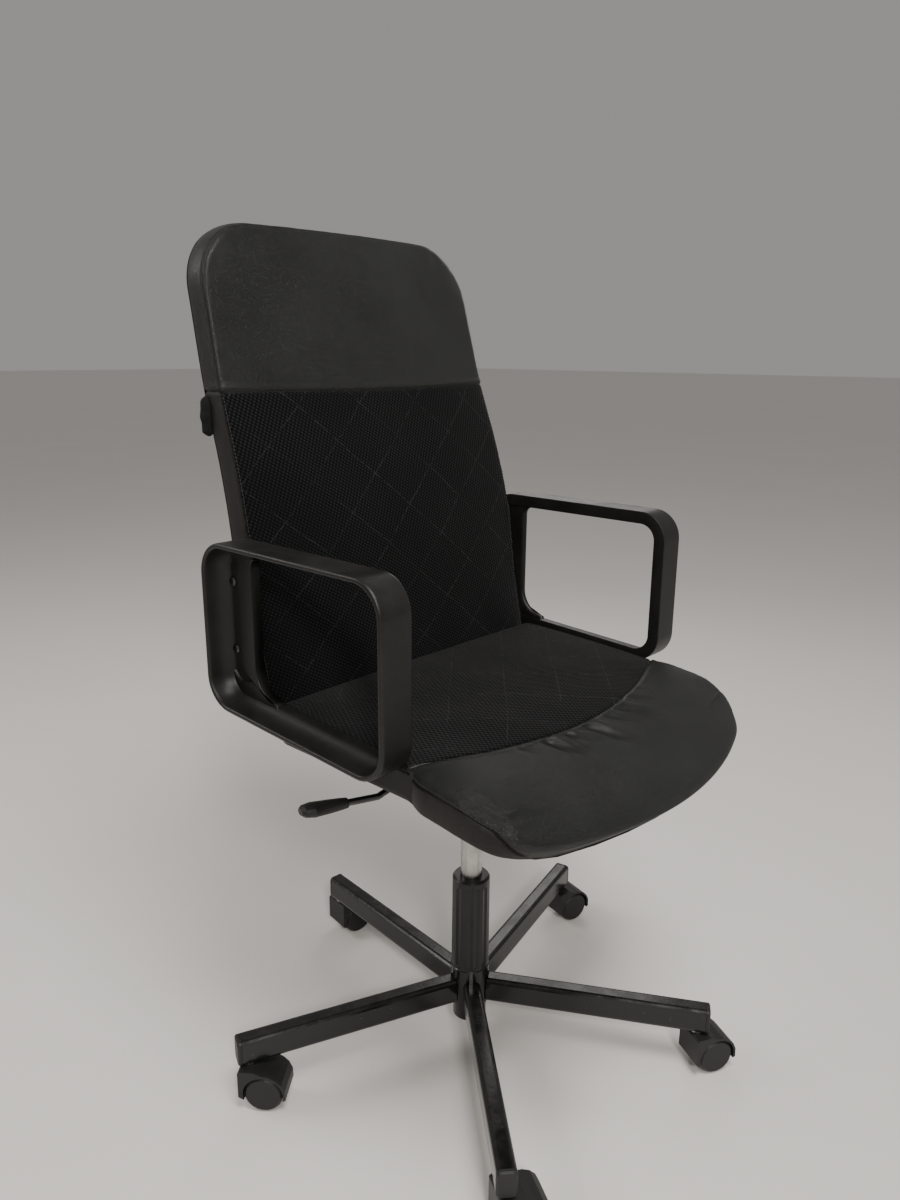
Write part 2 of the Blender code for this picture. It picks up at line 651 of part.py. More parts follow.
def build_back_cushion():
    outline = back_outline()
    centre = (0.0, 0.77)
    recess = BACK_DEPTH - BACK_BOARD_THICKNESS - 9 * GAP
    front = [([centre], 0.0)] + [(shrunk(inset(outline, 0.010), s, centre), 0.0)
                                 for s in (0.35, 0.7, 0.9, 1.0)]
    verts, sizes = [], []
    for ring, depth in front:
        verts.extend(back_place(x, z, depth + back_crown(x, z)) for x, z in ring)
        sizes.append(len(ring))
    skirt = inset(outline, BACK_SKIRT)
    rest = [(inset(outline, 0.003), 0.0020), (outline, 0.0070), (outline, BACK_DEPTH - 0.004),
            (inset(outline, 0.003), BACK_DEPTH), (skirt, BACK_DEPTH), (skirt, recess)]
    rest += [(shrunk(skirt, s, centre), recess) for s in (0.6, 0.3)] + [([centre], recess)]
    for ring, depth in rest:
        verts.extend(back_place(x, z, depth) for x, z in ring)
        sizes.append(len(ring))
    return add_piece("back_cushion", verts, ring_faces(sizes), black_leather(), smooth_deg=50.0)


def back_panel(name, edge, front, rear, mat):
    outline = inset(back_outline(), edge)
    centre = (0.0, 0.77)
    rings = [([centre], front)] + [(shrunk(outline, s, centre), front) for s in (0.3, 0.6)]
    rings += [(outline, front), (outline, rear)]
    rings += [(shrunk(outline, s, centre), rear) for s in (0.6, 0.3)] + [([centre], rear)]
    verts, faces = layered(rings, back_place)
    return add_piece(name, verts, faces, mat)


# ---------------------------------------------------------------- armrests
def arm_loop():
    """Outer edge of the armrest in (y, z), with each point's inward direction."""
    corners = [(ARM_REAR, ARM_BOTTOM_REAR), (ARM_REAR, ARM_TOP), (ARM_FRONT, ARM_TOP),
               (ARM_FRONT, ARM_BOTTOM_FRONT)]
    points = []
    for k, corner in enumerate(corners):
        here = Vector(corner)
        to_last = (Vector(corners[k - 1]) - here).normalized()
        to_next = (Vector(corners[(k + 1) % 4]) - here).normalized()
        half_angle = to_last.angle(to_next) / 2
        middle = here + (to_last + to_next).normalized() * ARM_CORNER / math.sin(half_angle)
        start = (here + to_last * ARM_CORNER / math.tan(half_angle) - middle).normalized()
        end = (here + to_next * ARM_CORNER / math.tan(half_angle) - middle).normalized()
        for step in range(6):
            outward = start.slerp(end, step / 5)
            points.append((middle + outward * ARM_CORNER, -outward))
    return points


def arm_section():
    """Cross-section as (distance from the chair's middle, thickness below the outer face)."""
    return [(ARM_INNER, 0.0008), (ARM_INNER + 0.0012, 0.0), (ARM_OUTER - 0.0022, 0.0),
            (ARM_OUTER, 0.0018), (ARM_OUTER, ARM_RIM - 0.0014), (ARM_OUTER - 0.0014, ARM_RIM),
            (ARM_OUTER - 0.0170, ARM_RIM + 0.0030), (ARM_INNER + 0.0100, ARM_ROOT - 0.0020),
            (ARM_INNER, ARM_ROOT)]


def arm_band(side):
    section = arm_section()
    verts = []
    for point, inward in arm_loop():
        for x, thickness in section:
            spot = point + inward * thickness
            verts.append(Vector((side * x, spot.x, spot.y)))
    return verts, ring_faces([len(section)] * len(arm_loop()), closed=True)


def web_outline():
    """Plate along the rear bar in (y, z), widening into the corners of the loop."""
    rear = ARM_REAR - 0.0030
    top = ARM_TOP - 0.0030
    bottom = ARM_BOTTOM_REAR + 0.0030
    cut_back = 0.024
    points = [(rear, bottom + cut_back), (rear, top - cut_back), (rear - 0.007, top - 0.010),
              (rear - cut_back, top)]
    points += [(WEB_FRONT - 0.010, top), (WEB_FRONT - 0.010, top - ARM_ROOT + 0.004)]
    points += [(WEB_FRONT - 0.002, top - ARM_ROOT - 0.006), (WEB_FRONT, top - ARM_ROOT - 0.014)]
    sweep = 0.034
    base = bottom + ARM_ROOT - 0.0045
    for k in range(6):
        turn = math.radians(90.0 * k / 5)
        points.append((WEB_FRONT - sweep * (1 - math.cos(turn)),
                       base + sweep * (1 - math.sin(turn))))
    points += [(WEB_FRONT - sweep - 0.004, bottom), (rear - cut_back, bottom),
               (rear - 0.007, bottom + 0.007)]
    return points


def build_armrest(side, name):
    verts, faces = arm_band(side)
    arm = add_piece(f"armrest_{name}", verts, faces, black_plastic(), smooth_deg=38.0)

    def place(y, z, x):
        return Vector((side * x, y, z))

    verts, faces = extruded(web_outline(), ARM_INNER + 0.0010, WEB_OUTER, place)
    cut(arm, add_piece(f"armrest_web_{name}", verts, faces, black_plastic()), "UNION")
    low, high = CHANNEL
    bottom, top = ARM_BOTTOM_REAR + 0.026, ARM_TOP - 0.024
    channel = [(low, bottom + 0.004), (low, top), (high, top), (high, bottom + 0.016),
               (high - 0.006, bottom + 0.004), (high - 0.014, bottom)]
    verts, faces = extruded(channel, WEB_OUTER - CHANNEL_DEPTH, WEB_OUTER + 0.01, place)
    cut(arm, add_piece(f"screw_channel_{name}", verts, faces, black_plastic()))
    return arm


def bolt_matrix(side, z):
    return aim((side, 0.0, 0.0), (side * (WEB_OUTER - CHANNEL_DEPTH), BOLT_Y, z))


def build_back_bolt(side, name, number):
    z = BOLT_HEIGHTS[number - 1]
    profile = [(0.0, -0.0300), (BOLT_RADIUS - 0.0008, -0.0300), (BOLT_RADIUS, -0.0290),
               (BOLT_RADIUS, GAP), (0.0058, GAP), (0.0058, 0.0016), (0.0040, 0.0032),
               (0.0022, 0.0032), (0.0022, 0.0014), (0.0, 0.0014)]
    verts, faces = revolved(profile, 12)
    add_piece(f"back_bolt_{name}_{number}", moved(verts, bolt_matrix(side, z)), faces,
              bright_steel())


def bolt_hole(side, name, number):
    z = BOLT_HEIGHTS[number - 1]
    verts, faces = revolved([(0.0, -0.0320), (BOLT_RADIUS + GAP, -0.0320),
                             (BOLT_RADIUS + GAP, 0.0100), (0.0, 0.0100)], 12)
    return add_piece(f"bolt_hole_{name}_{number}", moved(verts, bolt_matrix(side, z)), faces,
                     black_plastic())


def build_back_and_arms():
    cushion = build_back_cushion()
    board = back_panel("back_board", BACK_SKIRT + GAP, BACK_DEPTH - BACK_BOARD_THICKNESS - GAP,
                       BACK_DEPTH - 3 * GAP, plywood())
    back_panel("back_cover", 0.0010, BACK_DEPTH + 4 * GAP, BACK_DEPTH + COVER_THICKNESS,
               black_fabric())
    for side, name in ((1, "left"), (-1, "right")):
        arm = build_armrest(side, name)
        for number in (1, 2):
            hole = bolt_hole(side, name, number)
            for piece in (arm, cushion, board):
                cut(piece, hole)
            build_back_bolt(side, name, number)


# ---------------------------------------------------------------- tilt mechanism
def housing_outline(raise_floor):
    wall = HOUSING_WALL if raise_floor else 0.0
    return [(HOUSING_REAR - wall, HOUSING_BOTTOM + wall), (HOUSING_REAR - wall, 0.4330 + 10 * wall),
            (-0.0450, 0.4590 + 10 * wall), (-0.0930, 0.4590 + 10 * wall),
            (HOUSING_FRONT + wall, 0.4480 + 10 * wall), (HOUSING_FRONT + wall, 0.4300),
            (-0.0930 + wall, HOUSING_BOTTOM + wall)]


def build_housing():
    def place(y, z, x):
        return Vector((x, y, z))

    verts, faces = extruded(housing_outline(False), -HOUSING_HALF_WIDTH, HOUSING_HALF_WIDTH, place)
    housing = add_piece("mechanism_housing", verts, faces, black_paint())
    inner = HOUSING_HALF_WIDTH - HOUSING_WALL
    verts, faces = extruded(housing_outline(True), -inner, inner, place)
    cut(housing, add_piece("housing_inside", verts, faces, black_paint()))
    cylinders = {
        "cylinder_hole": (CYLINDER_RADIUS + GAP, 0.04, (0, 0, 1), (0, 0, HOUSING_BOTTOM)),
        "tilt_bar_hole": (TILT_BAR_RADIUS + GAP, 0.14, (1, 0, 0), (0, TILT_Y, TILT_Z)),
        "lever_hole": (LEVER_RADIUS + 0.0012, 0.02, (1, 0, 0), LEVER_PIVOT),
        "knob_hole": (0.0053, 0.02, (0, 0, 1), (0, KNOB_Y, HOUSING_BOTTOM)),
    }
    for name, (radius, length, direction, at) in cylinders.items():
        verts, faces = revolved([(0.0, -length / 2), (radius, -length / 2), (radius, length / 2),
                                 (0.0, length / 2)], 28)
        cut(housing, add_piece(name, moved(verts, aim(direction, at)), faces, black_paint()))


def build_tilt_bar():
    half = HOUSING_HALF_WIDTH + 0.0080
    verts, faces = revolved([(0.0, -half), (TILT_BAR_RADIUS, -half), (TILT_BAR_RADIUS, half),
                             (0.0, half)], 20)
    add_piece("torsion_bar", moved(verts, aim((1, 0, 0), (0, TILT_Y, TILT_Z))), faces,
              bright_steel())


def build_seat_bracket():
    """Pressed plate under the seat board, with two ears that hang on the torsion bar."""
    ear = 0.0030
    inner = HOUSING_HALF_WIDTH + 0.0010
    half = 0.0850
    section = [(-half, BRACKET_TOP), (-half, BRACKET_BOTTOM), (-inner - ear, BRACKET_BOTTOM),
               (-inner - ear, TILT_Z - 0.011), (-inner, TILT_Z - 0.011), (-inner, BRACKET_BOTTOM),
               (inner, BRACKET_BOTTOM), (inner, TILT_Z - 0.011), (inner + ear, TILT_Z - 0.011),
               (inner + ear, BRACKET_BOTTOM), (half, BRACKET_BOTTOM), (half, BRACKET_TOP)]

    def place(x, z, y):
        return Vector((x, y, z))

    pivot = (0.0, TILT_Y, TILT_Z)
    verts, faces = extruded(section, -0.1150, 0.0950, place)
    bracket = add_piece("seat_bracket", verts, faces, black_paint(), origin=pivot)
    for name, low, high in (("ear_relief_rear", TILT_Y + 0.014, 0.1000),
                            ("ear_relief_front", -0.1200, TILT_Y - 0.014)):
        verts, faces = box((-0.06, low, TILT_Z - 0.02), (0.06, high, BRACKET_BOTTOM))
        cut(bracket, add_piece(name, verts, faces, black_paint()))
    verts, faces = revolved([(0.0, -0.07), (TILT_BAR_RADIUS + GAP, -0.07),
                             (TILT_BAR_RADIUS + GAP, 0.07), (0.0, 0.07)], 20)
    cut(bracket, add_piece("bracket_pivot_hole", moved(verts, aim((1, 0, 0), pivot)), faces,
                           black_paint()))


def build_tension_knob():
    """Star-shaped hand knob on a threaded rod under the front of the housing."""
    top = HOUSING_BOTTOM - 0.0010
    profile = [(0.0, top - 0.034), (0.0170, top - 0.034), (0.0215, top - 0.029),
               (0.0225, top - 0.010), (0.0160, top - 0.004), (0.0110, top), (0.0050, top),
               (0.0050, top + 0.018), (0.0, top + 0.018)]

    def flute(index, k):
        return 0.0022 if index in (2, 3) and k % 4 == 0 else 0.0

    verts, faces = revolved(profile, 32, flute=flute)
    verts = moved(verts, Matrix.Translation((0.0, KNOB_Y, 0.0)))
    add_piece("tension_knob", verts, faces, black_plastic(), origin=(0.0, KNOB_Y, top))


def build_lever_rod():
    along = (GRIP_END - GRIP_START).normalized()
    path = [Vector(p) for p in LEVER_PATH]
    path += [GRIP_START - along * 0.018, GRIP_START + along * 0.019]
    verts, sizes = [path[0]], [1]
    for k, point in enumerate(path):
        before, after = path[max(k - 1, 0)], path[min(k + 1, len(path) - 1)]
        matrix = aim(after - before, point)
        for step in range(12):
            turn = 2.0 * math.pi * step / 12
            verts.append(matrix @ Vector((LEVER_RADIUS * math.cos(turn),
                                          LEVER_RADIUS * math.sin(turn), 0.0)))
        sizes.append(12)
    verts.append(path[-1])
    sizes.append(1)
    add_piece("lever_rod", verts, ring_faces(sizes), bright_steel(), origin=LEVER_PIVOT)


def build_lever_grip():
    """Flattened paddle pushed over the end of the rod."""
    along = (GRIP_END - GRIP_START).normalized()
    across = Vector((0.0, 0.0, 1.0)).cross(along).normalized()
    up = along.cross(across).normalized()
    length = (GRIP_END - GRIP_START).length
    stations = ((0.0, 0.0062, 0.0058), (0.12, 0.0074, 0.0066), (0.40, 0.0100, 0.0072),
                (0.75, 0.0125, 0.0074), (0.93, 0.0105, 0.0060), (1.0, 0.0060, 0.0035))
    verts, sizes = [], []
    socket = LEVER_RADIUS + GAP + 0.0001
    deep = 0.40
    for at, radius in ((deep, 0.0), (deep, socket), (0.0, socket)):
        centre = GRIP_START + along * length * at
        count = 16 if radius else 1
        for k in range(count):
            turn = 2.0 * math.pi * k / 16
            verts.append(centre + across * radius * math.cos(turn) + up * radius * math.sin(turn))
        sizes.append(count)
    for at, wide, thick in stations:
        centre = GRIP_START + along * length * at
        for k in range(16):
            turn = 2.0 * math.pi * k / 16
            verts.append(centre + across * wide * math.cos(turn) + up * thick * math.sin(turn))
        sizes.append(16)
    verts.append(GRIP_END)
    sizes.append(1)
    add_piece("lever_grip", verts, ring_faces(sizes), black_plastic(), origin=LEVER_PIVOT)


# ---------------------------------------------------------------- whole chair
def build_chair():
    clear_scene()
    build_hub()
    build_column_sleeve()
    build_piston_rod()
    build_gas_cylinder()
    build_release_button()
    for index in range(LEG_COUNT):
        build_leg(index)
        build_leg_cap(index)
        build_caster_stem(index)
        build_caster_hood(index)
        build_caster_axle(index)
        build_wheel(index, 1, "a")
        build_wheel(index, -1, "b")
    build_housing()
    build_tilt_bar()
    build_seat_bracket()
    build_tension_knob()
    build_lever_rod()
    build_lever_grip()
    build_seat_board()
    build_seat_cushion()
    build_back_and_arms()


build_chair()
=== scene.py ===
"""Looks of the swivel office chair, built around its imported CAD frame."""

import math

import bmesh
import bpy
import numpy as np
from mathutils import Matrix, Vector, noise
from mathutils.bvhtree import BVHTree


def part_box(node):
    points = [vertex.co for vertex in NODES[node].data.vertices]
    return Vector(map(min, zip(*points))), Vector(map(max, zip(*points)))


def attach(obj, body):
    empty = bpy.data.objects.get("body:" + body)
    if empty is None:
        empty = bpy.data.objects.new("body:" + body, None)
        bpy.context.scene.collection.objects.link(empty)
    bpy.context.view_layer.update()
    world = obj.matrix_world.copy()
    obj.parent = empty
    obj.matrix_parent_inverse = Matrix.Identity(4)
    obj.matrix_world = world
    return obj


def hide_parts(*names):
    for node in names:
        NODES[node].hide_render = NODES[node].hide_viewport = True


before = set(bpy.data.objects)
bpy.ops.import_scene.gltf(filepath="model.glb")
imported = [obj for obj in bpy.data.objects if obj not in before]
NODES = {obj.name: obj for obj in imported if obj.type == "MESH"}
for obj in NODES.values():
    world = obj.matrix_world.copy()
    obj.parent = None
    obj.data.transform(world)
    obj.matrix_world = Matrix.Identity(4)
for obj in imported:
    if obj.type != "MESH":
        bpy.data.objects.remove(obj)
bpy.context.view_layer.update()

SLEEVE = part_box("column_sleeve")
AXIS = Vector(((SLEEVE[0].x + SLEEVE[1].x) / 2, (SLEEVE[0].y + SLEEVE[1].y) / 2, 0.0))
TO_FRAME = np.array(AXIS)  # added to points that are measured from the swivel axis
COLLECTION = bpy.context.scene.collection
SHARP_ANGLE = math.radians(38.0)  # edges of the CAD nodes that turn more stay sharp

# Seat, in metres about the swivel axis; the chair faces -Y
SEAT_HALF = 0.2411
SEAT_REAR_HALF = 0.2312
SEAT_REAR = 0.0970
SEAT_SIDE_FRONT = -0.110
SEAT_FRONT = -0.2984
SEAT_FRONT_RADIUS = 0.5170
SEAT_CORNER = 0.0624
SEAT_CROWN = 0.0085
SEAT_TOP = ((-0.31, 0.4690), (-0.28, 0.4773), (-0.25, 0.4858), (-0.22, 0.4974),
            (-0.19, 0.5085), (-0.12, 0.5170), (0.0, 0.5240), (0.10, 0.5270))
SEAT_UNDER = ((-0.31, 0.4549), (-0.28, 0.4525), (-0.25, 0.4550), (-0.22, 0.4640),
              (-0.19, 0.4715), (-0.13, 0.4780), (-0.08, 0.4790), (0.10, 0.4790))
ARC_END = -0.1150  # y where the cross seam meets the sides
ARC_MIDDLE = -0.1740  # y of the cross seam on the centre line

# Back
BACK_TOP = 1.0560
BACK_BOTTOM = 0.5030
BACK_HALF = 0.2306
BACK_TOP_HALF = 0.2160
BACK_CORNER = 0.0800
BACK_TAPER_FROM = 0.66
BACK_FACE = ((0.48, 0.0950), (0.545, 0.1080), (0.60, 0.1190), (0.70, 0.1330), (0.78, 0.1530),
             (0.87, 0.1830), (0.96, 0.2065), (1.07, 0.2350))
BACK_DEPTH = 0.0376
BACK_CROWN = 0.0095
BACK_SEAM_Z = 0.8690  # where the leather top panel meets the mesh
COVER_THICKNESS = 0.0038
TAB_AT = (-0.2215, 0.2130, 0.8420)  # folded tab at the rear edge

# Armrests, as (y, z) or as distance from the middle of the chair
ARM_CORNERS = ((0.1690, 0.5205), (0.1690, 0.7134), (-0.1223, 0.7134), (-0.1223, 0.5065))
ARM_CORNER = 0.0380
ARM_SECTION = ((0.2320, 0.0008), (0.2325, 0.0002), (0.2336, 0.0000), (0.2352, 0.0000),
               (0.2680, 0.0000), (0.2700, 0.0001), (0.2716, 0.0007), (0.2726, 0.0020),
               (0.2727, 0.0040), (0.2720, 0.0054), (0.2704, 0.0061), (0.2680, 0.0063),
               (0.2630, 0.0067), (0.2580, 0.0078), (0.2530, 0.0098), (0.2490, 0.0124),
               (0.2455, 0.0147), (0.2425, 0.0160), (0.2390, 0.0165), (0.2335, 0.0165),
               (0.2320, 0.0157))
WEB_INNER = 0.2330
WEB_OUTER = 0.2460
WEB_FRONT = 0.1130
WEB_INSET = 0.004  # plate edge inside the outer line of the strap
CHANNEL = (0.1370, 0.1600)
CHANNEL_DEPTH = 0.0035

# Camera that matches the view
CAMERA_AT = Vector((-0.81295, -0.70107, 0.91429))
CAMERA_YAW = 47.58  # degrees from +Y towards +X
CAMERA_PITCH = 15.229  # degrees downwards
CAMERA_ROLL = 0.417
CAMERA_LENS = 27.37


# ---- shader helpers
class Shader:
    """A Principled material and short calls that wire nodes into it."""

    def __init__(self, name, colour, roughness, metallic=0.0):
        self.made = bpy.data.materials.new(name)
        self.made.use_nodes = True
        self.tree = self.made.node_tree
        self.bsdf = self.tree.nodes["Principled BSDF"]
        self.put("Base Color", (*colour, 1.0))
        self.put("Roughness", roughness)
        self.put("Metallic", metallic)
        self.where = self.node("ShaderNodeTexCoord").outputs["Object"]
        self.bumps = None

    def put(self, socket, value):
        self.bsdf.inputs[socket].default_value = value

    def finish(self, specular, **weights):
        self.put("Specular IOR Level", specular)
        for socket, value in weights.items():
            self.put(socket.replace("_", " "), value)
        return self.made

    def set_tone(self, *mix):
        self.link(self.mix_colour(*mix) if len(mix) > 1 else mix[0], "Base Color")

    def link(self, source, socket):
        self.tree.links.new(source, self.bsdf.inputs[socket])

    def node(self, kind, **settings):
        made = self.tree.nodes.new(kind)
        for key, value in settings.items():
            setattr(made, key, value)
        return made

    def feed(self, made, socket, value):
        if hasattr(value, "is_output"):
            self.tree.links.new(value, made.inputs[socket])
        else:
            made.inputs[socket].default_value = value

    def math(self, operation, a, b=0.0, clamp=False):
        made = self.node("ShaderNodeMath", operation=operation, use_clamp=clamp)
        self.feed(made, 0, a)
        self.feed(made, 1, b)
        return made.outputs[0]

    def add(self, a, b):
        return self.math("ADD", a, b)

    def less(self, a, b):
        return self.math("SUBTRACT", a, b)

    def times(self, a, b, clamp=False):
        return self.math("MULTIPLY", a, b, clamp)

    def sine(self, value, pitch):
        return self.math("SINE", self.times(value, 2 * math.pi / pitch))

    def texture(self, kind, output, source, numbers, **settings):
        made = self.node(kind, **settings)
        self.feed(made, "Vector", source or self.where)
        for socket, number in numbers.items():
            made.inputs[socket].default_value = number
        return made.outputs[output]

    def stretch(self, scale, turn=(0.0, 0.0, 0.0), source=None):
        return self.texture("ShaderNodeMapping", 0, source, {
            "Scale": scale, "Rotation": [math.radians(t) for t in turn]})

    def noise(self, scale, detail=3.0, roughness=0.55, source=None, distortion=0.0):
        return self.texture("ShaderNodeTexNoise", 0, source, {
            "Scale": scale, "Detail": detail, "Roughness": roughness, "Distortion": distortion})

    def cells(self, scale, feature="F1"):
        return self.texture("ShaderNodeTexVoronoi", "Distance", None, {"Scale": scale},
                            feature=feature)

    def axis(self, name, source=None):
        made = self.node("ShaderNodeSeparateXYZ")
        self.feed(made, 0, source or self.where)
        return made.outputs[name]

    def remap(self, value, low, high, to_low, to_high, smooth=False):
        made = self.node("ShaderNodeMapRange")
        if smooth:
            made.interpolation_type = "SMOOTHSTEP"
        self.feed(made, "Value", value)
        for socket, number in (("From Min", low), ("From Max", high), ("To Min", to_low),
                               ("To Max", to_high)):
            made.inputs[socket].default_value = number
        return made.outputs["Result"]

    def mix_colour(self, factor, a, b):
        made = self.node("ShaderNodeMix", data_type="RGBA")
        self.feed(made, 0, factor)
        for index, value in ((6, a), (7, b)):
            if isinstance(value, tuple):
                made.inputs[index].default_value = (*value, 1.0)
            else:
                self.feed(made, index, value)
        return made.outputs[2]

    def attribute(self, name):
        return self.node("ShaderNodeAttribute", attribute_name=name).outputs["Fac"]

    def bump(self, height, distance, strength=1.0):
        made = self.node("ShaderNodeBump")
        self.feed(made, "Distance", distance)
        self.feed(made, "Strength", strength)
        self.feed(made, "Height", height)
        if self.bumps:
            self.feed(made, "Normal", self.bumps)
        self.bumps = made.outputs[0]
        self.link(self.bumps, "Normal")


# ---- materials
def leather(name, colour, gloss, worn=False):
    """Coated imitation leather: pebbled grain with painted shade in its valleys, fine pores, uneven
    sheen, optional worn patches.
    """
    mat = Shader(name, colour, gloss)
    grain = mat.cells(780.0, "DISTANCE_TO_EDGE")
    creases = mat.remap(grain, 0.0, 0.16, 0.0, 1.0, smooth=True)
    pores = mat.noise(2300.0, 2.0)
    waves = mat.noise(26.0, 4.0, 0.6)
    mat.bump(waves, 0.0022, 0.22)
    mat.bump(creases, 0.00036, 0.75)
    mat.bump(pores, 0.00012, 0.35)
    blotches = mat.noise(9.0, 5.0, 0.62)
    dusty = tuple(min(1.0, c * 1.35 + 0.003) for c in colour)
    dark = tuple(c * 0.78 for c in colour)
    tone = mat.mix_colour(mat.remap(blotches, 0.35, 0.68, 0.0, 1.0), dark, dusty)
    # painted shade: the grain's valleys are darkened towards the dark tone
    tone = mat.mix_colour(mat.times(mat.less(1.0, creases), 0.55), tone, dark)
    rough = mat.remap(blotches, 0.3, 0.7, gloss - 0.05, gloss + 0.08)
    if worn:
        rub = mat.attribute("wear")
        flakes = mat.cells(260.0, "F1")
        bare = mat.times(rub, mat.remap(flakes, 0.25, 0.55, 1.0, 0.0), clamp=True)
        tone = mat.mix_colour(mat.times(bare, 0.12), tone, (0.075, 0.078, 0.078))
        rough = mat.less(rough, mat.times(rub, 0.20))
        wrinkle = mat.noise(150.0, 5.0, 0.7, distortion=1.4)
        mat.bump(wrinkle, 0.0030, mat.times(rub, 0.85))
    mat.set_tone(tone)
    mat.link(rough, "Roughness")
    return mat.finish(0.30)


def spacer_mesh(name, plane):
    """Black 3-D spacer mesh: slanted open cells, fuzzy threads, and thin quilting lines; the cells
    carry painted shade and the thread ridges painted light.
    """
    mat = Shader(name, (0.012, 0.012, 0.013), 0.9)
    across = mat.axis("X")
    along = mat.axis(plane)
    cell = 0.0060
    up = mat.add(across, mat.times(along, 0.40))
    down = mat.less(along, mat.times(across, 0.15))
    wave_up = mat.sine(up, cell)
    wave_down = mat.sine(down, cell)
    holes = mat.times(wave_up, wave_down)
    threads = mat.noise(1500.0, 3.0, 0.6)
    height = mat.add(holes, mat.times(threads, 0.6))
    mat.bump(height, 0.0007, 0.7)
    # painted shade and light: the open cells go near-black and the raised thread ridges are painted
    # lighter, unevenly in patches
    ridge = mat.remap(height, 0.05, 1.1, 0.0, 1.0, smooth=True)
    patches = mat.remap(mat.noise(7.0, 4.0), 0.3, 0.7, 0.55, 1.15)
    ridge_painted_light = mat.times(ridge, patches)
    tone = mat.mix_colour(ridge_painted_light, (0.0008, 0.0008, 0.0010), (0.0130, 0.0130, 0.0140))
    pitch = 0.098
    wander = mat.times(mat.noise(11.0, 2.0), 0.014)
    for slope in (1.15, -1.15):
        tilted = mat.add(mat.add(across, mat.times(along, slope)), wander)
        share = mat.math("FRACT", mat.times(tilted, 1.0 / pitch))
        phase = mat.math("ABSOLUTE", mat.less(share, 0.5))
        line = mat.remap(phase, 0.0, 0.008, 1.0, 0.0, smooth=True)
        dashes = mat.remap(mat.noise(160.0, 2.0), 0.40, 0.50, 0.0, 1.0)
        fade = mat.remap(mat.noise(13.0, 2.0), 0.36, 0.56, 0.0, 1.0)
        shown = mat.times(mat.times(line, dashes), fade, clamp=True)
        tone = mat.mix_colour(mat.times(shown, 0.7), tone, (0.052, 0.052, 0.054))
        mat.bump(line, -0.0010, 0.5)
    mat.set_tone(tone)
    return mat.finish(0.12, Sheen_Weight=0.04, Sheen_Roughness=0.45)


def moulded_plastic(name, colour, gloss, scuffed=0.5):
    """Injection-moulded plastic: spark-eroded texture and faint handling marks."""
    mat = Shader(name, colour, gloss)
    texture = mat.cells(900.0, "F1")
    fine = mat.noise(1500.0, 2.0)
    mat.bump(texture, 0.00016, 0.45)
    mat.bump(fine, 0.00008, 0.4)
    cloud = mat.noise(14.0, 5.0, 0.65)
    scratches = mat.noise(60.0, 4.0, 0.7, source=mat.stretch((1.0, 0.16, 1.0), (20, 35, 50)))
    marks = mat.times(mat.remap(scratches, 0.60, 0.70, 0.0, 1.0), scuffed)
    pale = tuple(c * 1.5 + 0.006 for c in colour)
    tone = mat.mix_colour(mat.remap(cloud, 0.35, 0.70, 0.0, 0.7), colour, pale)
    tone = mat.mix_colour(mat.times(marks, 0.35), tone, tuple(c * 2.2 + 0.01 for c in colour))
    mat.set_tone(tone)
    mat.link(mat.remap(cloud, 0.3, 0.7, gloss - 0.07, gloss + 0.10), "Roughness")
    return mat.finish(0.34)


def gloss_paint(name, colour, gloss):
    """Powder-coated steel tube: light orange peel, dust on top, small chips."""
    mat = Shader(name, colour, gloss)
    mat.bump(mat.noise(240.0, 2.0), 0.00035, 0.28)
    mat.bump(mat.noise(1200.0, 2.0), 0.00008, 0.3)
    dust = mat.noise(34.0, 6.0, 0.7)
    facing = mat.axis("Z", mat.node("ShaderNodeNewGeometry").outputs["Normal"])
    settled = mat.times(mat.remap(facing, 0.2, 1.0, 0.0, 1.0), mat.remap(dust, 0.4, 0.75, 0.0, 1.0))
    tone = mat.mix_colour(mat.times(settled, 0.10), colour, (0.11, 0.10, 0.09))
    chips = mat.math("GREATER_THAN", mat.noise(310.0, 2.0), 0.735)
    tone = mat.mix_colour(mat.times(chips, 0.55), tone, (0.16, 0.15, 0.14))
    mat.set_tone(tone)
    mat.link(mat.add(mat.times(settled, 0.25), gloss), "Roughness")
    return mat.finish(0.38, Coat_Weight=0.15, Coat_Roughness=0.10)


def brushed_steel(name, colour, gloss):
    """Ground or drawn steel with fine turning lines and a thin film of oil."""
    mat = Shader(name, colour, gloss, metallic=1.0)
    lines = mat.noise(900.0, 3.0, 0.6, source=mat.stretch((1.0, 1.0, 0.06)))
    mat.bump(lines, 0.00006, 0.5)
    film = mat.noise(46.0, 4.0)
    mat.link(mat.remap(film, 0.3, 0.7, gloss - 0.06, gloss + 0.14), "Roughness")
    mat.set_tone(mat.remap(film, 0.35, 0.7, 0.0, 0.6), colour, tuple(c * 0.72 for c in colour))
    return mat.made


def birch_ply(name):
    """Bare plywood with its plies as stripes across the thickness."""
    mat = Shader(name, (0.46, 0.31, 0.17), 0.6)
    plies = mat.noise(55.0, 4.0, 0.6, source=mat.stretch((1.0, 9.0, 0.6)))
    mat.set_tone(plies, (0.36, 0.22, 0.11), (0.56, 0.40, 0.24))
    mat.bump(plies, 0.0004, 0.4)
    return mat.made


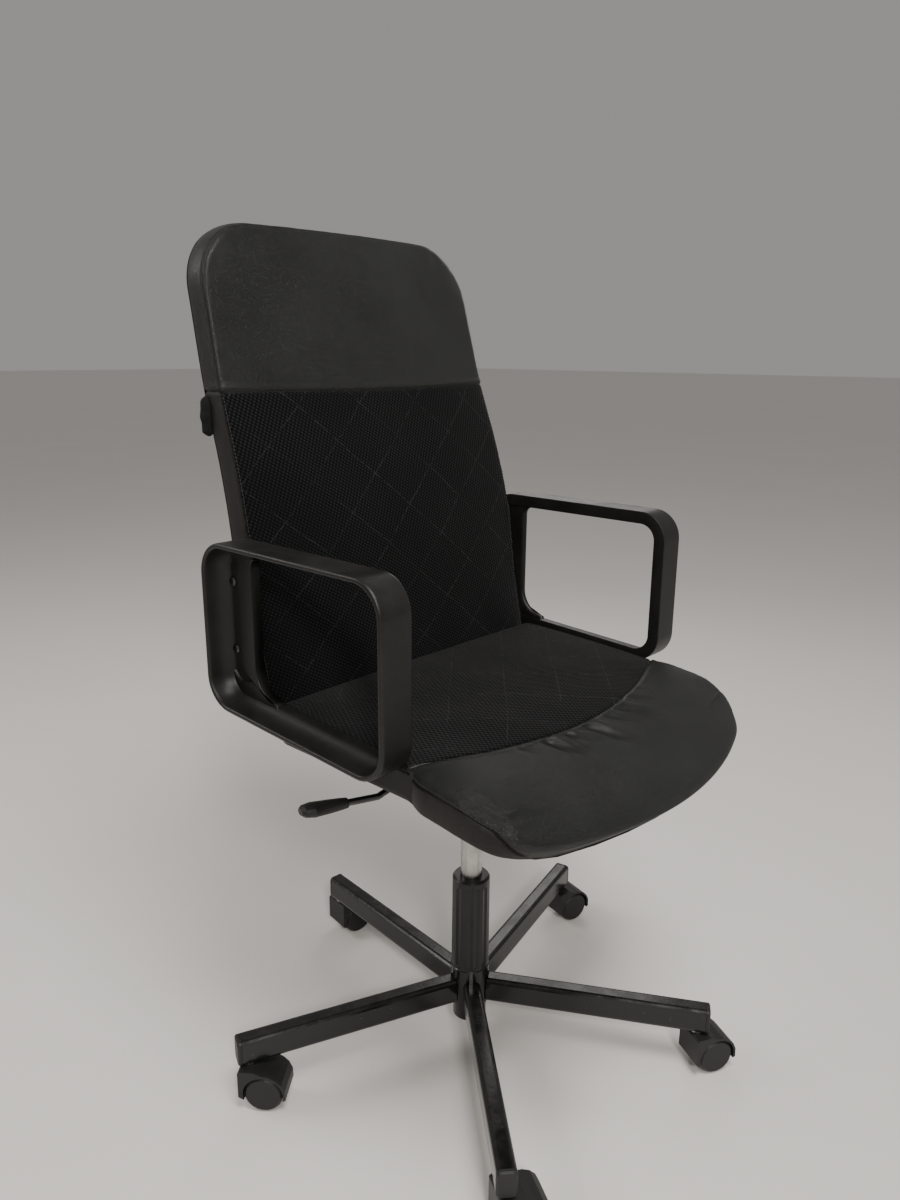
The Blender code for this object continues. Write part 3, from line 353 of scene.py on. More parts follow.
def woven_cover(name):
    """Plain-weave black polyester: rear of the back, and the underlay of the seat."""
    mat = Shader(name, (0.012, 0.012, 0.013), 0.85)
    pitch = 0.0011
    warp = mat.sine(mat.axis("X"), pitch)
    weft = mat.sine(mat.axis("Z"), pitch)
    weave = mat.times(warp, weft)
    mat.bump(mat.add(weave, mat.noise(900.0, 2.0)), 0.0003, 0.7)
    lint = mat.noise(22.0, 6.0, 0.7)
    # painted shade and light: the weave's low points are darker and its raised crossings lighter
    shade = mat.remap(weave, -1.0, 1.0, 0.0, 1.0)
    tone = mat.mix_colour(shade, (0.003, 0.003, 0.0035), (0.015, 0.015, 0.016))
    mat.set_tone(mat.remap(lint, 0.55, 0.8, 0.0, 0.5), tone, (0.028, 0.028, 0.028))
    return mat.finish(0.15, Sheen_Weight=0.06, Sheen_Roughness=0.4)


def thread(name, colour):
    """Twisted sewing thread."""
    mat = Shader(name, colour, 0.6)
    twist = mat.noise(1800.0, 2.0, source=mat.stretch((1.0, 1.0, 0.4), (40, 30, 0)))
    mat.bump(twist, 0.0002, 0.8)
    mat.set_tone(twist, tuple(c * 0.6 for c in colour), colour)
    return mat.made


LEATHER = leather("leather_black", (0.0095, 0.0102, 0.0100), 0.34, worn=True)
# side leather: its darker warm brown tint is painted bounce light from the floor
BOXING_PAINTED_BOUNCE = leather("leather_boxing_painted_bounce", (0.0068, 0.0054, 0.0048), 0.45)
SEAT_MESH = spacer_mesh("mesh_seat", "Y")
BACK_MESH = spacer_mesh("mesh_back", "Z")
COVER = woven_cover("cover_fabric")
ARM_PLASTIC = moulded_plastic("arm_plastic", (0.0070, 0.0070, 0.0065), 0.41)
MATT_PLASTIC = moulded_plastic("matt_plastic", (0.0105, 0.0105, 0.0105), 0.46, 0.3)
SLEEVE_PLASTIC = moulded_plastic("sleeve_plastic", (0.0090, 0.0088, 0.0086), 0.30, 0.3)
PAINT = gloss_paint("base_paint", (0.0060, 0.0060, 0.0062), 0.17)
STEEL = brushed_steel("ground_steel", (0.46, 0.45, 0.43), 0.26)
DARK_STEEL = brushed_steel("dark_steel", (0.10, 0.10, 0.10), 0.34)
PLY = birch_ply("birch_ply")
UNDERLAY = woven_cover("underlay_fabric")
THREAD = thread("stitch_thread", (0.022, 0.022, 0.023))


# ---- geometry helpers
def at(x, y, z):
    """A point given about the swivel axis, in the frame."""
    return Vector((x + AXIS.x, y + AXIS.y, z))


def stations(table, value):
    """Smooth interpolation through (position, value) stations, for numbers or arrays."""
    xs = np.array([p for p, _ in table])
    ys = np.array([q for _, q in table])
    slopes = np.empty(len(xs))
    slopes[1:-1] = (ys[2:] - ys[:-2]) / (xs[2:] - xs[:-2])
    slopes[0] = (ys[1] - ys[0]) / (xs[1] - xs[0])
    slopes[-1] = (ys[-1] - ys[-2]) / (xs[-1] - xs[-2])
    value = np.clip(value, xs[0], xs[-1])
    i = np.clip(np.searchsorted(xs, value, side="right") - 1, 0, len(xs) - 2)
    step = xs[i + 1] - xs[i]
    t = (value - xs[i]) / step
    return (ys[i] * (1 + 2 * t) * (1 - t) ** 2 + slopes[i] * step * t * (1 - t) ** 2
            + ys[i + 1] * t * t * (3 - 2 * t) + slopes[i + 1] * step * t * t * (t - 1))


def ramp(value, start, width):
    """0 up to start, 1 past start + width (below it, for a negative width), straight between."""
    return np.clip((value - start) / width, 0, 1)


def smooth(share):
    """Eases a share between 0 and 1 in and out."""
    return share * share * (3 - 2 * share)


def bell(value, middle, width):
    """1 at the middle, falling to nothing a few widths away."""
    return np.exp(-((value - middle) / width) ** 2)


def noise_at(points, scale):
    """Smooth repeatable noise in -1..1 at each point."""
    return np.array([noise.noise(Vector(p) * scale) for p in points])


def run_lengths(points):
    """Length along a polyline at each of its points."""
    return np.r_[0.0, np.cumsum(np.linalg.norm(np.diff(points, axis=0), axis=1))]


def resample(points, count, ends=None):
    """count points at even arc length along a 2-D polyline, or at given fractions."""
    points = np.array(points, float)
    lengths = run_lengths(points)
    where = (np.linspace(0, 1, count) if ends is None else ends) * lengths[-1]
    return np.stack([np.interp(where, lengths, points[:, k]) for k in (0, 1)], -1)


def coons(low, high, right, fractions, columns):
    """Grid of points symmetrical about X = 0 between two cross lines and the +X side."""
    low, high = resample(low, columns), resample(high, columns)
    right = resample(right, len(fractions), fractions)
    left = right * (-1, 1)
    v = fractions[:, None, None]
    u = np.linspace(0, 1, columns)[None, :, None]
    across = (1 - v) * low[None] + v * high[None]
    along = (1 - u) * left[:, None] + u * right[:, None]
    corners = ((1 - u) * (1 - v) * low[0] + u * (1 - v) * low[-1]
               + (1 - u) * v * high[0] + u * v * high[-1])
    return across + along - corners


def row_fractions(rows, seam_first):
    """Row places 0..1, even but for a close row beside the seam."""
    close = 0.35 / rows
    rest = np.linspace(0, 1, rows - 1)
    return np.r_[0.0, close, rest[1:]] if seam_first else np.r_[rest[:-1], 1 - close, 1.0]


def loop_normals(loop):
    """Outward unit normals of a closed 2-D loop."""
    ahead = np.roll(loop, -1, 0) - np.roll(loop, 1, 0)
    normal = np.stack([ahead[:, 1], -ahead[:, 0]], -1)
    normal /= np.linalg.norm(normal, axis=1)[:, None]
    for _ in range(2):
        normal = normal + 0.5 * (np.roll(normal, 1, 0) + np.roll(normal, -1, 0))
        normal /= np.linalg.norm(normal, axis=1)[:, None]
    outward = np.sign(((loop - loop.mean(0)) * normal).sum())
    return normal * outward


def perimeter(rows, columns):
    """Indices of a grid's border, once round."""
    index = np.arange(rows * columns).reshape(rows, columns)
    return np.concatenate([index[0, :-1], index[:-1, -1], index[-1, :0:-1], index[:0:-1, 0]])


def edge_of(plan):
    """A plan grid's points, its border and normals, and each point's nearest border point."""
    flat = plan.reshape(-1, 2)
    loop = flat[perimeter(*plan.shape[:2])]
    gaps = np.linalg.norm(flat[:, None] - loop[None], axis=2)
    return flat, loop, loop_normals(loop), gaps.argmin(1), gaps.min(1)


def grid_faces(rows, columns):
    """Quads of a grid of points, row by row."""
    corners = [r * columns + c for r in range(rows - 1) for c in range(columns - 1)]
    return [(a, a + 1, a + columns + 1, a + columns) for a in corners]


def ring_faces(rings, count, closed=False):
    """Quads between successive rings of count points."""
    faces = []
    for k in range(rings if closed else rings - 1):
        low, high = k * count, ((k + 1) % rings) * count
        for i in range(count):
            n = (i + 1) % count
            faces.append((low + i, low + n, high + n, high + i))
    return faces


def capped_rings(rings, count):
    """The same with one more face at each end."""
    last = (rings - 1) * count
    ends = [tuple(reversed(range(count))), tuple(last + k for k in range(count))]
    return ring_faces(rings, count) + ends


def make_object(name, verts, faces, materials, zones=None, smooth=True):
    mesh = bpy.data.meshes.new(name)
    mesh.from_pydata([tuple(v) for v in verts], [], faces)
    for mat in materials:
        mesh.materials.append(mat)
    if zones is not None:
        mesh.polygons.foreach_set("material_index", np.array(zones, np.int32))
    if smooth:
        mesh.shade_smooth()
    obj = bpy.data.objects.new(name, mesh)
    COLLECTION.objects.link(obj)
    return obj


def coords(obj, field="co"):
    values = np.empty(len(obj.data.vertices) * 3, np.float32)
    obj.data.vertices.foreach_get(field, values)
    return values.reshape(-1, 3).astype(float)


def set_coords(obj, co):
    obj.data.vertices.foreach_set("co", np.asarray(co, np.float32).ravel())
    obj.data.update()


def write_attributes(obj, **values):
    for name, numbers in values.items():
        found = obj.data.attributes.new(name, "FLOAT", "POINT")
        found.data.foreach_set("value", np.asarray(numbers, np.float32))


def read_attributes(obj, *names):
    values = np.empty((len(names), len(obj.data.vertices)), np.float32)
    for row, name in zip(values, names):
        obj.data.attributes[name].data.foreach_get("value", row)
    return values.astype(float)


def subdivide(obj, levels):
    modifier = obj.modifiers.new("smooth", "SUBSURF")
    modifier.levels = modifier.render_levels = levels
    with bpy.context.temp_override(object=obj, active_object=obj, selected_objects=[obj]):
        bpy.ops.object.modifier_apply(modifier=modifier.name)
    obj.data.shade_smooth()


def inflate(obj, held, pressure, cap, frames=20):
    """Cloth simulation of a stuffed cover; held is each vertex's pin weight."""
    start = coords(obj)
    group = obj.vertex_groups.new(name="held")
    for index, weight in enumerate(held):
        if weight > 0:
            group.add([index], float(weight), "REPLACE")
    modifier = obj.modifiers.new("cloth", "CLOTH")
    for setting, value in dict(
            use_pressure=True, uniform_pressure_force=pressure, vertex_group_mass="held",
            quality=6, mass=0.35, tension_stiffness=22.0, compression_stiffness=22.0,
            shear_stiffness=10.0, bending_stiffness=0.8).items():
        setattr(modifier.settings, setting, value)
    modifier.settings.effector_weights.gravity = 0.0
    modifier.collision_settings.use_collision = False
    modifier.point_cache.frame_start = 1
    modifier.point_cache.frame_end = frames
    scene = bpy.context.scene
    for step in range(1, frames + 1):
        scene.frame_set(step)
    deps = bpy.context.evaluated_depsgraph_get()
    shaped = obj.evaluated_get(deps)
    co = np.empty(len(start) * 3, np.float32)
    shaped.data.vertices.foreach_get("co", co)
    obj.modifiers.remove(modifier)
    scene.frame_set(1)
    move = co.reshape(-1, 3) - start
    length = np.linalg.norm(move, axis=1)[:, None]
    move *= cap * np.tanh(length / cap) / np.maximum(length, 1e-9)
    set_coords(obj, start + move)


def wobble(values, scale, seed):
    """Smooth repeatable noise in -1..1 along one coordinate."""
    return np.array([noise.noise(Vector((v * scale, seed, 0.37))) for v in values])


def add_tube(verts, faces, points, radius, sides=6):
    """Append a thin closed tube along a list of points to a mesh's vertices and faces."""
    first = len(verts)
    for k, point in enumerate(points):
        ahead = points[min(k + 1, len(points) - 1)] - points[max(k - 1, 0)]
        turn = ahead.to_track_quat("Z", "Y").to_matrix()
        for side in range(sides):
            angle = 2 * math.pi * side / sides
            spot = Vector((radius * math.cos(angle), radius * math.sin(angle), 0))
            verts.append(point + turn @ spot)
    faces.extend(tuple(first + v for v in face) for face in capped_rings(len(points), sides))


def stitches(name, skin, path, pitch=0.0042, radius=0.00045):
    """One row of thread stitches laid on a skin along a path."""
    tree = BVHTree.FromObject(skin, bpy.context.evaluated_depsgraph_get())
    path = np.array(path, float)
    lengths = run_lengths(path)

    def on_skin(where, lift):
        near = Vector([float(np.interp(where, lengths, path[:, k])) for k in range(3)])
        spot, normal, _, _ = tree.find_nearest(near)
        return spot + normal * lift

    verts, faces = [], []
    for k in range(int(lengths[-1] / pitch)):
        start, end = k * pitch, (k + 0.74) * pitch
        line = [on_skin(start, -0.0003), on_skin(start * 0.75 + end * 0.25, radius * 0.5),
                on_skin(start * 0.25 + end * 0.75, radius * 0.5), on_skin(end, -0.0003)]
        add_tube(verts, faces, line, radius, 5)
    row = make_object(name, verts, faces, [THREAD])
    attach(row, "seat")
    return row


def rounded_loop(corners, radius, steps):
    """Closed outline through rounded corners: its points and their inward directions."""
    points, inward = [], []
    for k, corner in enumerate(corners):
        here = Vector(corner)
        to_last = (Vector(corners[k - 1]) - here).normalized()
        to_next = (Vector(corners[(k + 1) % len(corners)]) - here).normalized()
        half_angle = to_last.angle(to_next) / 2
        middle = here + (to_last + to_next).normalized() * radius / math.sin(half_angle)
        reach = radius / math.tan(half_angle)
        start = (here + to_last * reach - middle).normalized()
        end = (here + to_next * reach - middle).normalized()
        for step in range(steps):
            outward = start.slerp(end, step / (steps - 1))
            points.append(middle + outward * radius)
            inward.append(-outward)
    return np.array(points), np.array(inward)


def face_outward(obj):
    """Turns the faces of a closed body outwards."""
    work = bmesh.new()
    work.from_mesh(obj.data)
    bmesh.ops.recalc_face_normals(work, faces=work.faces)
    work.to_mesh(obj.data)
    work.free()


def even_shading(obj):
    """Keeps large flat faces flat where they meet small roundings."""
    modifier = obj.modifiers.new("even_shading", "WEIGHTED_NORMAL")
    modifier.keep_sharp = True


# ---- seat cushion
def seat_front_edge(x):
    """y of the bowed front edge."""
    return SEAT_FRONT + x * x / (2.0 * SEAT_FRONT_RADIUS)


def seat_side():
    """The +X side of the plan to the middle of its front corner, then on to the front middle."""
    points = [(SEAT_REAR_HALF - 0.012, SEAT_REAR)]
    for k in range(1, 7):
        turn = math.radians(15.0 * k)
        points.append((SEAT_REAR_HALF - 0.012 * (1 - math.sin(turn)),
                       SEAT_REAR - 0.012 * (1 - math.cos(turn))))
    points.append((SEAT_REAR_HALF, SEAT_SIDE_FRONT))
    for k in range(1, 9):
        t = k / 8
        points.append((SEAT_REAR_HALF + (SEAT_HALF - SEAT_REAR_HALF) * smooth(t),
                       SEAT_SIDE_FRONT - 0.034 * t))
    corner_x = SEAT_HALF - SEAT_CORNER
    start = np.array((SEAT_HALF, seat_front_edge(SEAT_HALF) + SEAT_CORNER))
    middle = np.array((SEAT_HALF, seat_front_edge(SEAT_HALF)))
    end = np.array((corner_x, seat_front_edge(corner_x)))
    corner = [start * (1 - t) ** 2 + middle * 2 * t * (1 - t) + end * t * t
              for t in np.linspace(0, 1, 25)]
    front = [(x, seat_front_edge(x)) for x in np.linspace(corner_x, 0, 24)[1:]]
    return points + [tuple(c) for c in corner[:13]], [tuple(c) for c in corner[12:]] + front


def seat_plan(rear_rows, front_rows, columns):
    """Plan grid of the seat with one row on the cross seam, from the rear to the front."""
    side, half_front = (np.array(half) for half in seat_side())
    split = int(np.argmin(np.abs(side[:, 1] - ARC_END)))
    end = side[split]
    rear_line = np.array([(-side[0, 0], SEAT_REAR), (side[0, 0], SEAT_REAR)])
    x = np.linspace(-1, 1, 41)
    seam = np.stack([x * end[0], ARC_MIDDLE + (end[1] - ARC_MIDDLE) * np.abs(x) ** 1.9], -1)
    front = np.concatenate([half_front * (-1, 1), half_front[::-1][1:]])
    rear = coons(rear_line, seam, side[:split + 1], row_fractions(rear_rows, False), columns)
    ahead = coons(seam, front, side[split:], row_fractions(front_rows, True), columns)
    return np.concatenate([rear, ahead[1:]])


def cushion(name, grid, walls, centre, materials, zone_of_row, zone_of_wall):
    """Closed body: a front grid, wall rings round its border, and a fan to a centre behind."""
    rows, columns = grid.shape[:2]
    border = perimeter(rows, columns)
    count = len(border)
    verts = list(grid.reshape(-1, 3))
    faces = grid_faces(rows, columns)
    zones = [zone_of_row(r) for r in range(rows - 1) for _ in range(columns - 1)]
    last = list(border)
    for k, ring in enumerate(walls):
        start = len(verts)
        verts.extend(ring)
        for i in range(count):
            n = (i + 1) % count
            faces.append((last[i], start + i, start + n, last[n]))
            zones.append(zone_of_wall(k, i))
        last = [start + i for i in range(count)]
    verts.append(centre)
    for i in range(count):
        faces.append((last[i], len(verts) - 1, last[(i + 1) % count]))
        zones.append(len(materials) - 1)
    obj = make_object(name, verts, faces, materials, zones)
    face_outward(obj)
    return obj


def pin_weights(count, grid_count, ring_count, rolls, step, cross):
    """Pin weights: none on the face, more round the roll, full on the walls, some on the seam."""
    held = np.zeros(count)
    held[grid_count:] = 1.0
    for k in range(rolls):
        held[grid_count + k * ring_count:grid_count + (k + 1) * ring_count] = 0.45 + step * k
    held[(np.abs(cross) < 0.002) & (np.arange(count) < grid_count)] = 0.25
    return held


def seam_maps(co, face_rim, nearest, loop, rings, seam_ring, centre_rim):
    """Each vertex's distance from the edge seam, positive on the face, and its run along it."""
    first, ring_count = len(face_rim), len(loop)
    walls = co[first:first + rings * ring_count].reshape(rings, -1, 3)
    run = run_lengths(loop)
    rim, along = np.full(len(co), centre_rim), np.zeros(len(co))
    rim[:first], along[:first] = np.minimum(face_rim, 0.2), run[nearest]
    for k in range(rings):
        span = slice(first + k * ring_count, first + (k + 1) * ring_count)
        gap = np.linalg.norm(walls[k] - walls[seam_ring], axis=1)
        rim[span] = gap * (1 if k < seam_ring else -1)
        along[span] = run
    return rim, along, walls


SEAT_SWELL = (3.2, 0.0075)  # cloth pressure, and the farthest that a point may move
NOSE_TUCK = 0.0085  # how far the wall under the leather nose is tucked in
SEAM_HALF = 0.0016  # half the width of a sewn groove
SEAT_ROLL = 0.0100  # width over which the top rolls down to the side seam
SEAT_NOSE_ROLL = 0.0300  # the same round the front, where the leather wraps under
SEAT_DROP = 0.0045  # how far the side seam lies below the top
ROLL_TURNS = (18, 36, 54, 70, 84)  # degrees round the roll at each of its rings
CREASES = (  # x at the cross seam, slant, length, depth and width
    (-0.118, 0.30, 0.030, 0.0008, 0.0060), (-0.082, 0.42, 0.055, 0.0019, 0.0075),
    (-0.052, 0.50, 0.040, 0.0012, 0.0060), (-0.018, 0.62, 0.070, 0.0021, 0.0080),
    (0.022, 0.70, 0.048, 0.0013, 0.0065), (0.050, 0.85, 0.060, 0.0016, 0.0070),
    (0.084, 0.95, 0.042, 0.0011, 0.0060), (0.112, 1.05, 0.030, 0.0008, 0.0055))


def seat_height(x, y, lift):
    """z of the seat's top, crowned by lift times its full crown."""
    across = np.clip(1.0 - (x / SEAT_HALF) ** 2, 0, None)
    middle = (SEAT_REAR + SEAT_FRONT) / 2
    along = np.clip(1.0 - ((y - middle) / (SEAT_REAR - middle)) ** 2, 0, None)
    return stations(SEAT_TOP, y) + lift * SEAT_CROWN * across * (0.35 + 0.65 * along)


def seam_share(loop):
    """How much of the side wall the leather top wraps: 0 at the sides, 1 round the front."""
    reach = np.abs(loop[:, 0])
    share = smooth(ramp(loop[:, 1], -0.220, -0.036))
    share[(loop[:, 1] < -0.256) & (reach < 0.205)] = 1.0
    return np.clip(share, 0.03, 0.97)


def build_seat():
    """Seat cushion; also a ring of points above its side seam, and the seam's share there."""
    rear_rows, front_rows, columns = 30, 24, 58
    plan = seat_plan(rear_rows, front_rows, columns)
    flat, loop, outward, nearest, distance = edge_of(plan)
    share = seam_share(loop)
    roll = SEAT_ROLL + (SEAT_NOSE_ROLL - SEAT_ROLL) * share
    shift = (1.0 - ramp(distance, 0.0, 0.08)) ** 2 * roll[nearest]
    inner = (flat - outward[nearest] * shift[:, None]).reshape(plan.shape)
    top = np.dstack([inner, seat_height(inner[..., 0], inner[..., 1], 0.75)])
    height = stations(SEAT_TOP, loop[:, 1])
    under = stations(SEAT_UNDER, loop[:, 1])
    seam_z = height - SEAT_DROP - 0.0060 * share
    nose = NOSE_TUCK * share
    walls = []

    def ring(inset, z):
        spot = loop - outward * np.broadcast_to(inset, len(loop))[:, None]
        walls.append(np.column_stack([spot, z]))

    fall = seat_height(*loop.T, 0.75) - seam_z
    for turn in ROLL_TURNS:
        a = math.radians(turn)
        inset = roll * (1 - math.sin(a))
        surface = seat_height(*(loop - outward * inset[:, None]).T, 0.75)
        ring(inset, surface - fall * (1 - math.cos(a)))
    low = under + 0.0045
    split = seam_z - (seam_z - low) * share
    for k in range(4):
        ring(nose * (share * k / 4) ** 2, seam_z - (seam_z - split) * k / 4)
    for k in range(6):
        swell = 0.0012 * math.sin(math.pi * k / 5) * (1 - share)
        ring(nose * (share + (1 - share) * k / 5) ** 2 - swell, split - (split - low) * k / 5)
    seam_ring = len(ROLL_TURNS) + 4
    for inset, lift in ((nose + 0.0015, 0.0012), (nose + 0.0050, 0.0), (nose + 0.0100, 0.0),
                        (0.0400, 0.0010), (0.1100, 0.0010)):
        ring(inset, under + lift)
    materials = [SEAT_MESH, LEATHER, BOXING_PAINTED_BOUNCE]
    rear_border = set(np.nonzero(loop[:, 1] > ARC_END + 0.001)[0])

    def zone_of_row(r):
        return 0 if r < rear_rows - 1 else 1

    def zone_of_wall(k, i):
        n = (i + 1) % len(loop)
        if k >= len(walls) - 3:
            return 2
        if k < seam_ring:
            return 0 if i in rear_border and n in rear_border else 1
        return 1 if min(share[i], share[n]) > 0.9 else 2

    obj = cushion("seat_upholstery", top, walls, (0.0, -0.1, 0.478), materials,
                  zone_of_row, zone_of_wall)
    co = coords(obj)
    seam_line = plan[rear_rows - 1]
    cross = np.interp(co[:, 0], seam_line[:, 0], seam_line[:, 1]) - co[:, 1]
    held = pin_weights(len(co), len(flat), len(loop), len(ROLL_TURNS), 0.12, cross)
    rim, along, wall_co = seam_maps(co, distance + roll[nearest], nearest, loop, len(walls),
                                    seam_ring, 0.2)
    inflate(obj, held, *SEAT_SWELL)
    wrap = np.concatenate([share[nearest], np.tile(share, len(walls)), [1.0]])
    write_attributes(obj, cross=cross, rim=rim, along=along, wrap=wrap)
    subdivide(obj, 2)
    dress_seat(obj)
    return obj, wall_co[len(ROLL_TURNS) - 2], share


def dress_seat(obj):
    """Sink the seams, gather the leather beside them, and wear the front corner."""
    co, no = coords(obj), coords(obj, "normal")
    cross, rim, along, wrap = read_attributes(obj, "cross", "rim", "along", "wrap")
    top = co[:, 2] > stations(SEAT_UNDER, co[:, 1]) + 0.012
    groove = bell(cross, 0.0, SEAM_HALF) * top
    lip = bell(cross, 0.0045, 0.0030) * top
    move = (-0.0016 * groove + 0.0007 * lip) * (rim > -0.001)
    sewn = ramp(wrap, 0.92, -0.1)
    side_groove = bell(rim, 0.0, SEAM_HALF) * sewn
    front = ramp(co[:, 1], -0.10, -0.02)
    move -= 0.0018 * side_groove * (0.35 + 0.65 * front)
    gather = wobble(along, 95.0, 1.7) + 0.6 * wobble(along, 210.0, 4.1)
    strength = np.exp(-np.abs(rim) / 0.007) * sewn * front * (0.6 + 0.4 * wobble(along, 18.0, 8.3))
    move += 0.0016 * gather * strength
    creases = np.zeros(len(co))
    for start, slant, length, depth, width in CREASES:
        sideways = co[:, 0] - (start + cross * slant)
        fade = smooth((1 - ramp(cross, 0.0, length)) * ramp(cross, 0.0, 0.006))
        profile = bell(sideways, 0.0, width) - 0.6 * bell(sideways, 1.6 * width, width)
        creases -= 2.3 * depth * profile * fade
    move += creases * top
    patch = wear_patch(co)
    rubbed = patch > 0.02
    rough = noise_at(co[rubbed], 95.0) + 0.6 * noise_at(co[rubbed], 210.0)
    move[rubbed] += 0.0012 * rough * patch[rubbed]
    move += 0.0011 * noise_at(co, 17.0) * ramp(rim, 0.004, 0.01) * top
    co = co + no * move[:, None]
    between_arms = (co[:, 1] > -0.124) & (np.abs(co[:, 0]) > SEAT_REAR_HALF)
    co[between_arms, 0] = np.sign(co[between_arms, 0]) * SEAT_REAR_HALF
    write_attributes(obj, wear=patch)
    set_coords(obj, co + TO_FRAME)


def wear_patch(co):
    """Rubbed leather: strongest on one front corner, faint along the other one."""
    worn = np.exp(-(((co[:, 0] + 0.226) / 0.018) ** 2 + ((co[:, 1] + 0.214) / 0.030) ** 2))
    faint = 0.35 * np.exp(-(((co[:, 0] - 0.224) / 0.014) ** 2 + ((co[:, 1] + 0.222) / 0.030) ** 2))
    return np.clip(worn + faint, 0, 1) * (co[:, 2] > 0.476)


# ---- back cushion
BACK_SWELL = (3.0, 0.0070)  # cloth pressure, and the farthest that a point may move
BACK_ROLL = 0.0085  # width over which the face rolls down to the edge seam
BACK_TOP_ROLL = 0.0050  # the same round the top
BACK_DROP = 0.0060  # how far the edge seam lies behind the face
BACK_SINK = 0.0120  # how far the hidden rear lies in front of the rear cover


def back_half(z):
    """Half the width of the back at a height."""
    blend = ramp(z, BACK_TAPER_FROM, BACK_TOP - BACK_CORNER - BACK_TAPER_FROM)
    return BACK_HALF + (BACK_TOP_HALF - BACK_HALF) * blend


def back_side():
    """The +X edge of the back to the middle of its top corner, then on to the top middle."""
    low = [(BACK_HALF - 0.016 + 0.016 * math.sin(t), BACK_BOTTOM + 0.016 * (1 - math.cos(t)))
           for t in np.linspace(0, math.pi / 2, 7)]
    straight = [(float(back_half(z)), z)
                for z in np.linspace(BACK_BOTTOM + 0.018, BACK_TOP - BACK_CORNER, 30)]
    corner = [(BACK_TOP_HALF - BACK_CORNER * (1 - math.cos(t)),
               BACK_TOP - BACK_CORNER + BACK_CORNER * math.sin(t))
              for t in np.linspace(0, math.pi / 2, 25)]
    top = [(x, BACK_TOP + 0.0018 * (1 - (x / 0.136) ** 2)) for x in np.linspace(0.130, 0, 12)]
    return low + straight + corner[:13], corner[12:] + top


def back_lines():
    """The +X side, foot and top of the back's outline."""
    side, half_top = (np.array(half) for half in back_side())
    foot = np.array([(-side[0, 0], BACK_BOTTOM), (side[0, 0], BACK_BOTTOM)])
    return side, foot, np.concatenate([half_top * (-1, 1), half_top[::-1][1:]])


def build_back():
    """Back cushion; also a ring of points beside its edge seam."""
    low_rows, high_rows, columns = 44, 24, 54
    side, foot, top_line = back_lines()
    split = int(np.argmin(np.abs(side[:, 1] - BACK_SEAM_Z)))
    side[split] = (float(back_half(BACK_SEAM_Z)), BACK_SEAM_Z)
    end = side[split]
    x = np.linspace(-1, 1, 31)
    seam = np.stack([x * end[0], end[1] - 0.0030 * (1 - x * x)], -1)
    lower = coons(foot, seam, side[:split + 1], row_fractions(low_rows, False), columns)
    upper = coons(seam, top_line, side[split:], row_fractions(high_rows, True), columns)
    plan = np.concatenate([lower, upper[1:]])
    flat, loop, outward, nearest, distance = edge_of(plan)
    roll = BACK_ROLL - (BACK_ROLL - BACK_TOP_ROLL) * ramp(loop[:, 1], 0.95, 0.07)
    shift = (1.0 - ramp(distance, 0.0, 0.05)) ** 2 * roll[nearest]
    inner = flat - outward[nearest] * shift[:, None]

    def face_y(points, lift):
        across = np.clip(1.0 - (points[:, 0] / BACK_HALF) ** 2, 0, None)
        middle = (BACK_TOP + BACK_BOTTOM) / 2
        along = np.clip(1.0 - ((points[:, 1] - middle) / (BACK_TOP - middle)) ** 4, 0, None)
        return stations(BACK_FACE, points[:, 1]) - lift * BACK_CROWN * across * along

    front = np.column_stack([inner[:, 0], face_y(inner, 0.75), inner[:, 1]])
    walls = []

    def ring(inset, depth):
        x, z = (loop - outward * np.broadcast_to(inset, len(loop))[:, None]).T
        walls.append(np.column_stack([x, stations(BACK_FACE, z) + depth, z]))

    for turn in (30, 55, 78):
        a = math.radians(turn)
        ring(roll * (1 - math.sin(a)), BACK_DROP * (1 - math.cos(a)))
    for k in range(7):
        swell = 0.0010 * math.sin(math.pi * k / 6)
        ring(-swell, BACK_DROP + (BACK_DEPTH - 0.004 - BACK_DROP) * k / 6)
    seam_ring = 3
    for inset, sink in ((0.0012, 0.001), (0.0050, 0.0), (0.0200, 0.0), (0.0300, BACK_SINK),
                        (0.1100, BACK_SINK)):
        ring(inset, BACK_DEPTH - sink)
    centre = (0.0, float(stations(BACK_FACE, np.array(0.77))) + BACK_DEPTH - 0.014, 0.77)
    materials = [BACK_MESH, LEATHER, BOXING_PAINTED_BOUNCE]
    above = loop[:, 1] > BACK_SEAM_Z - 0.001

    def zone_of_row(r):
        return 0 if r < low_rows - 1 else 1

    def zone_of_wall(k, i):
        high = above[i] and above[(i + 1) % len(loop)]
        if k < 4:
            return 1 if high else 0
        if k >= len(walls) - 3:
            return 2
        return 1 if high else 2

    obj = cushion("back_upholstery", front.reshape(*plan.shape[:2], 3), walls, centre, materials,
                  zone_of_row, zone_of_wall)
    co = coords(obj)
    seam_z = np.interp(co[:, 0], plan[low_rows - 1, :, 0], plan[low_rows - 1, :, 1])
    cross = co[:, 2] - seam_z
    held = pin_weights(len(co), len(flat), len(loop), seam_ring, 0.2, cross)
    rim, along, wall_co = seam_maps(co, distance + roll[nearest], nearest, loop, len(walls),
                                    seam_ring, -0.2)
    inflate(obj, held, *BACK_SWELL)
    write_attributes(obj, cross=cross, rim=rim, along=along)
    subdivide(obj, 2)
    dress_back(obj)
    return obj, wall_co[1]


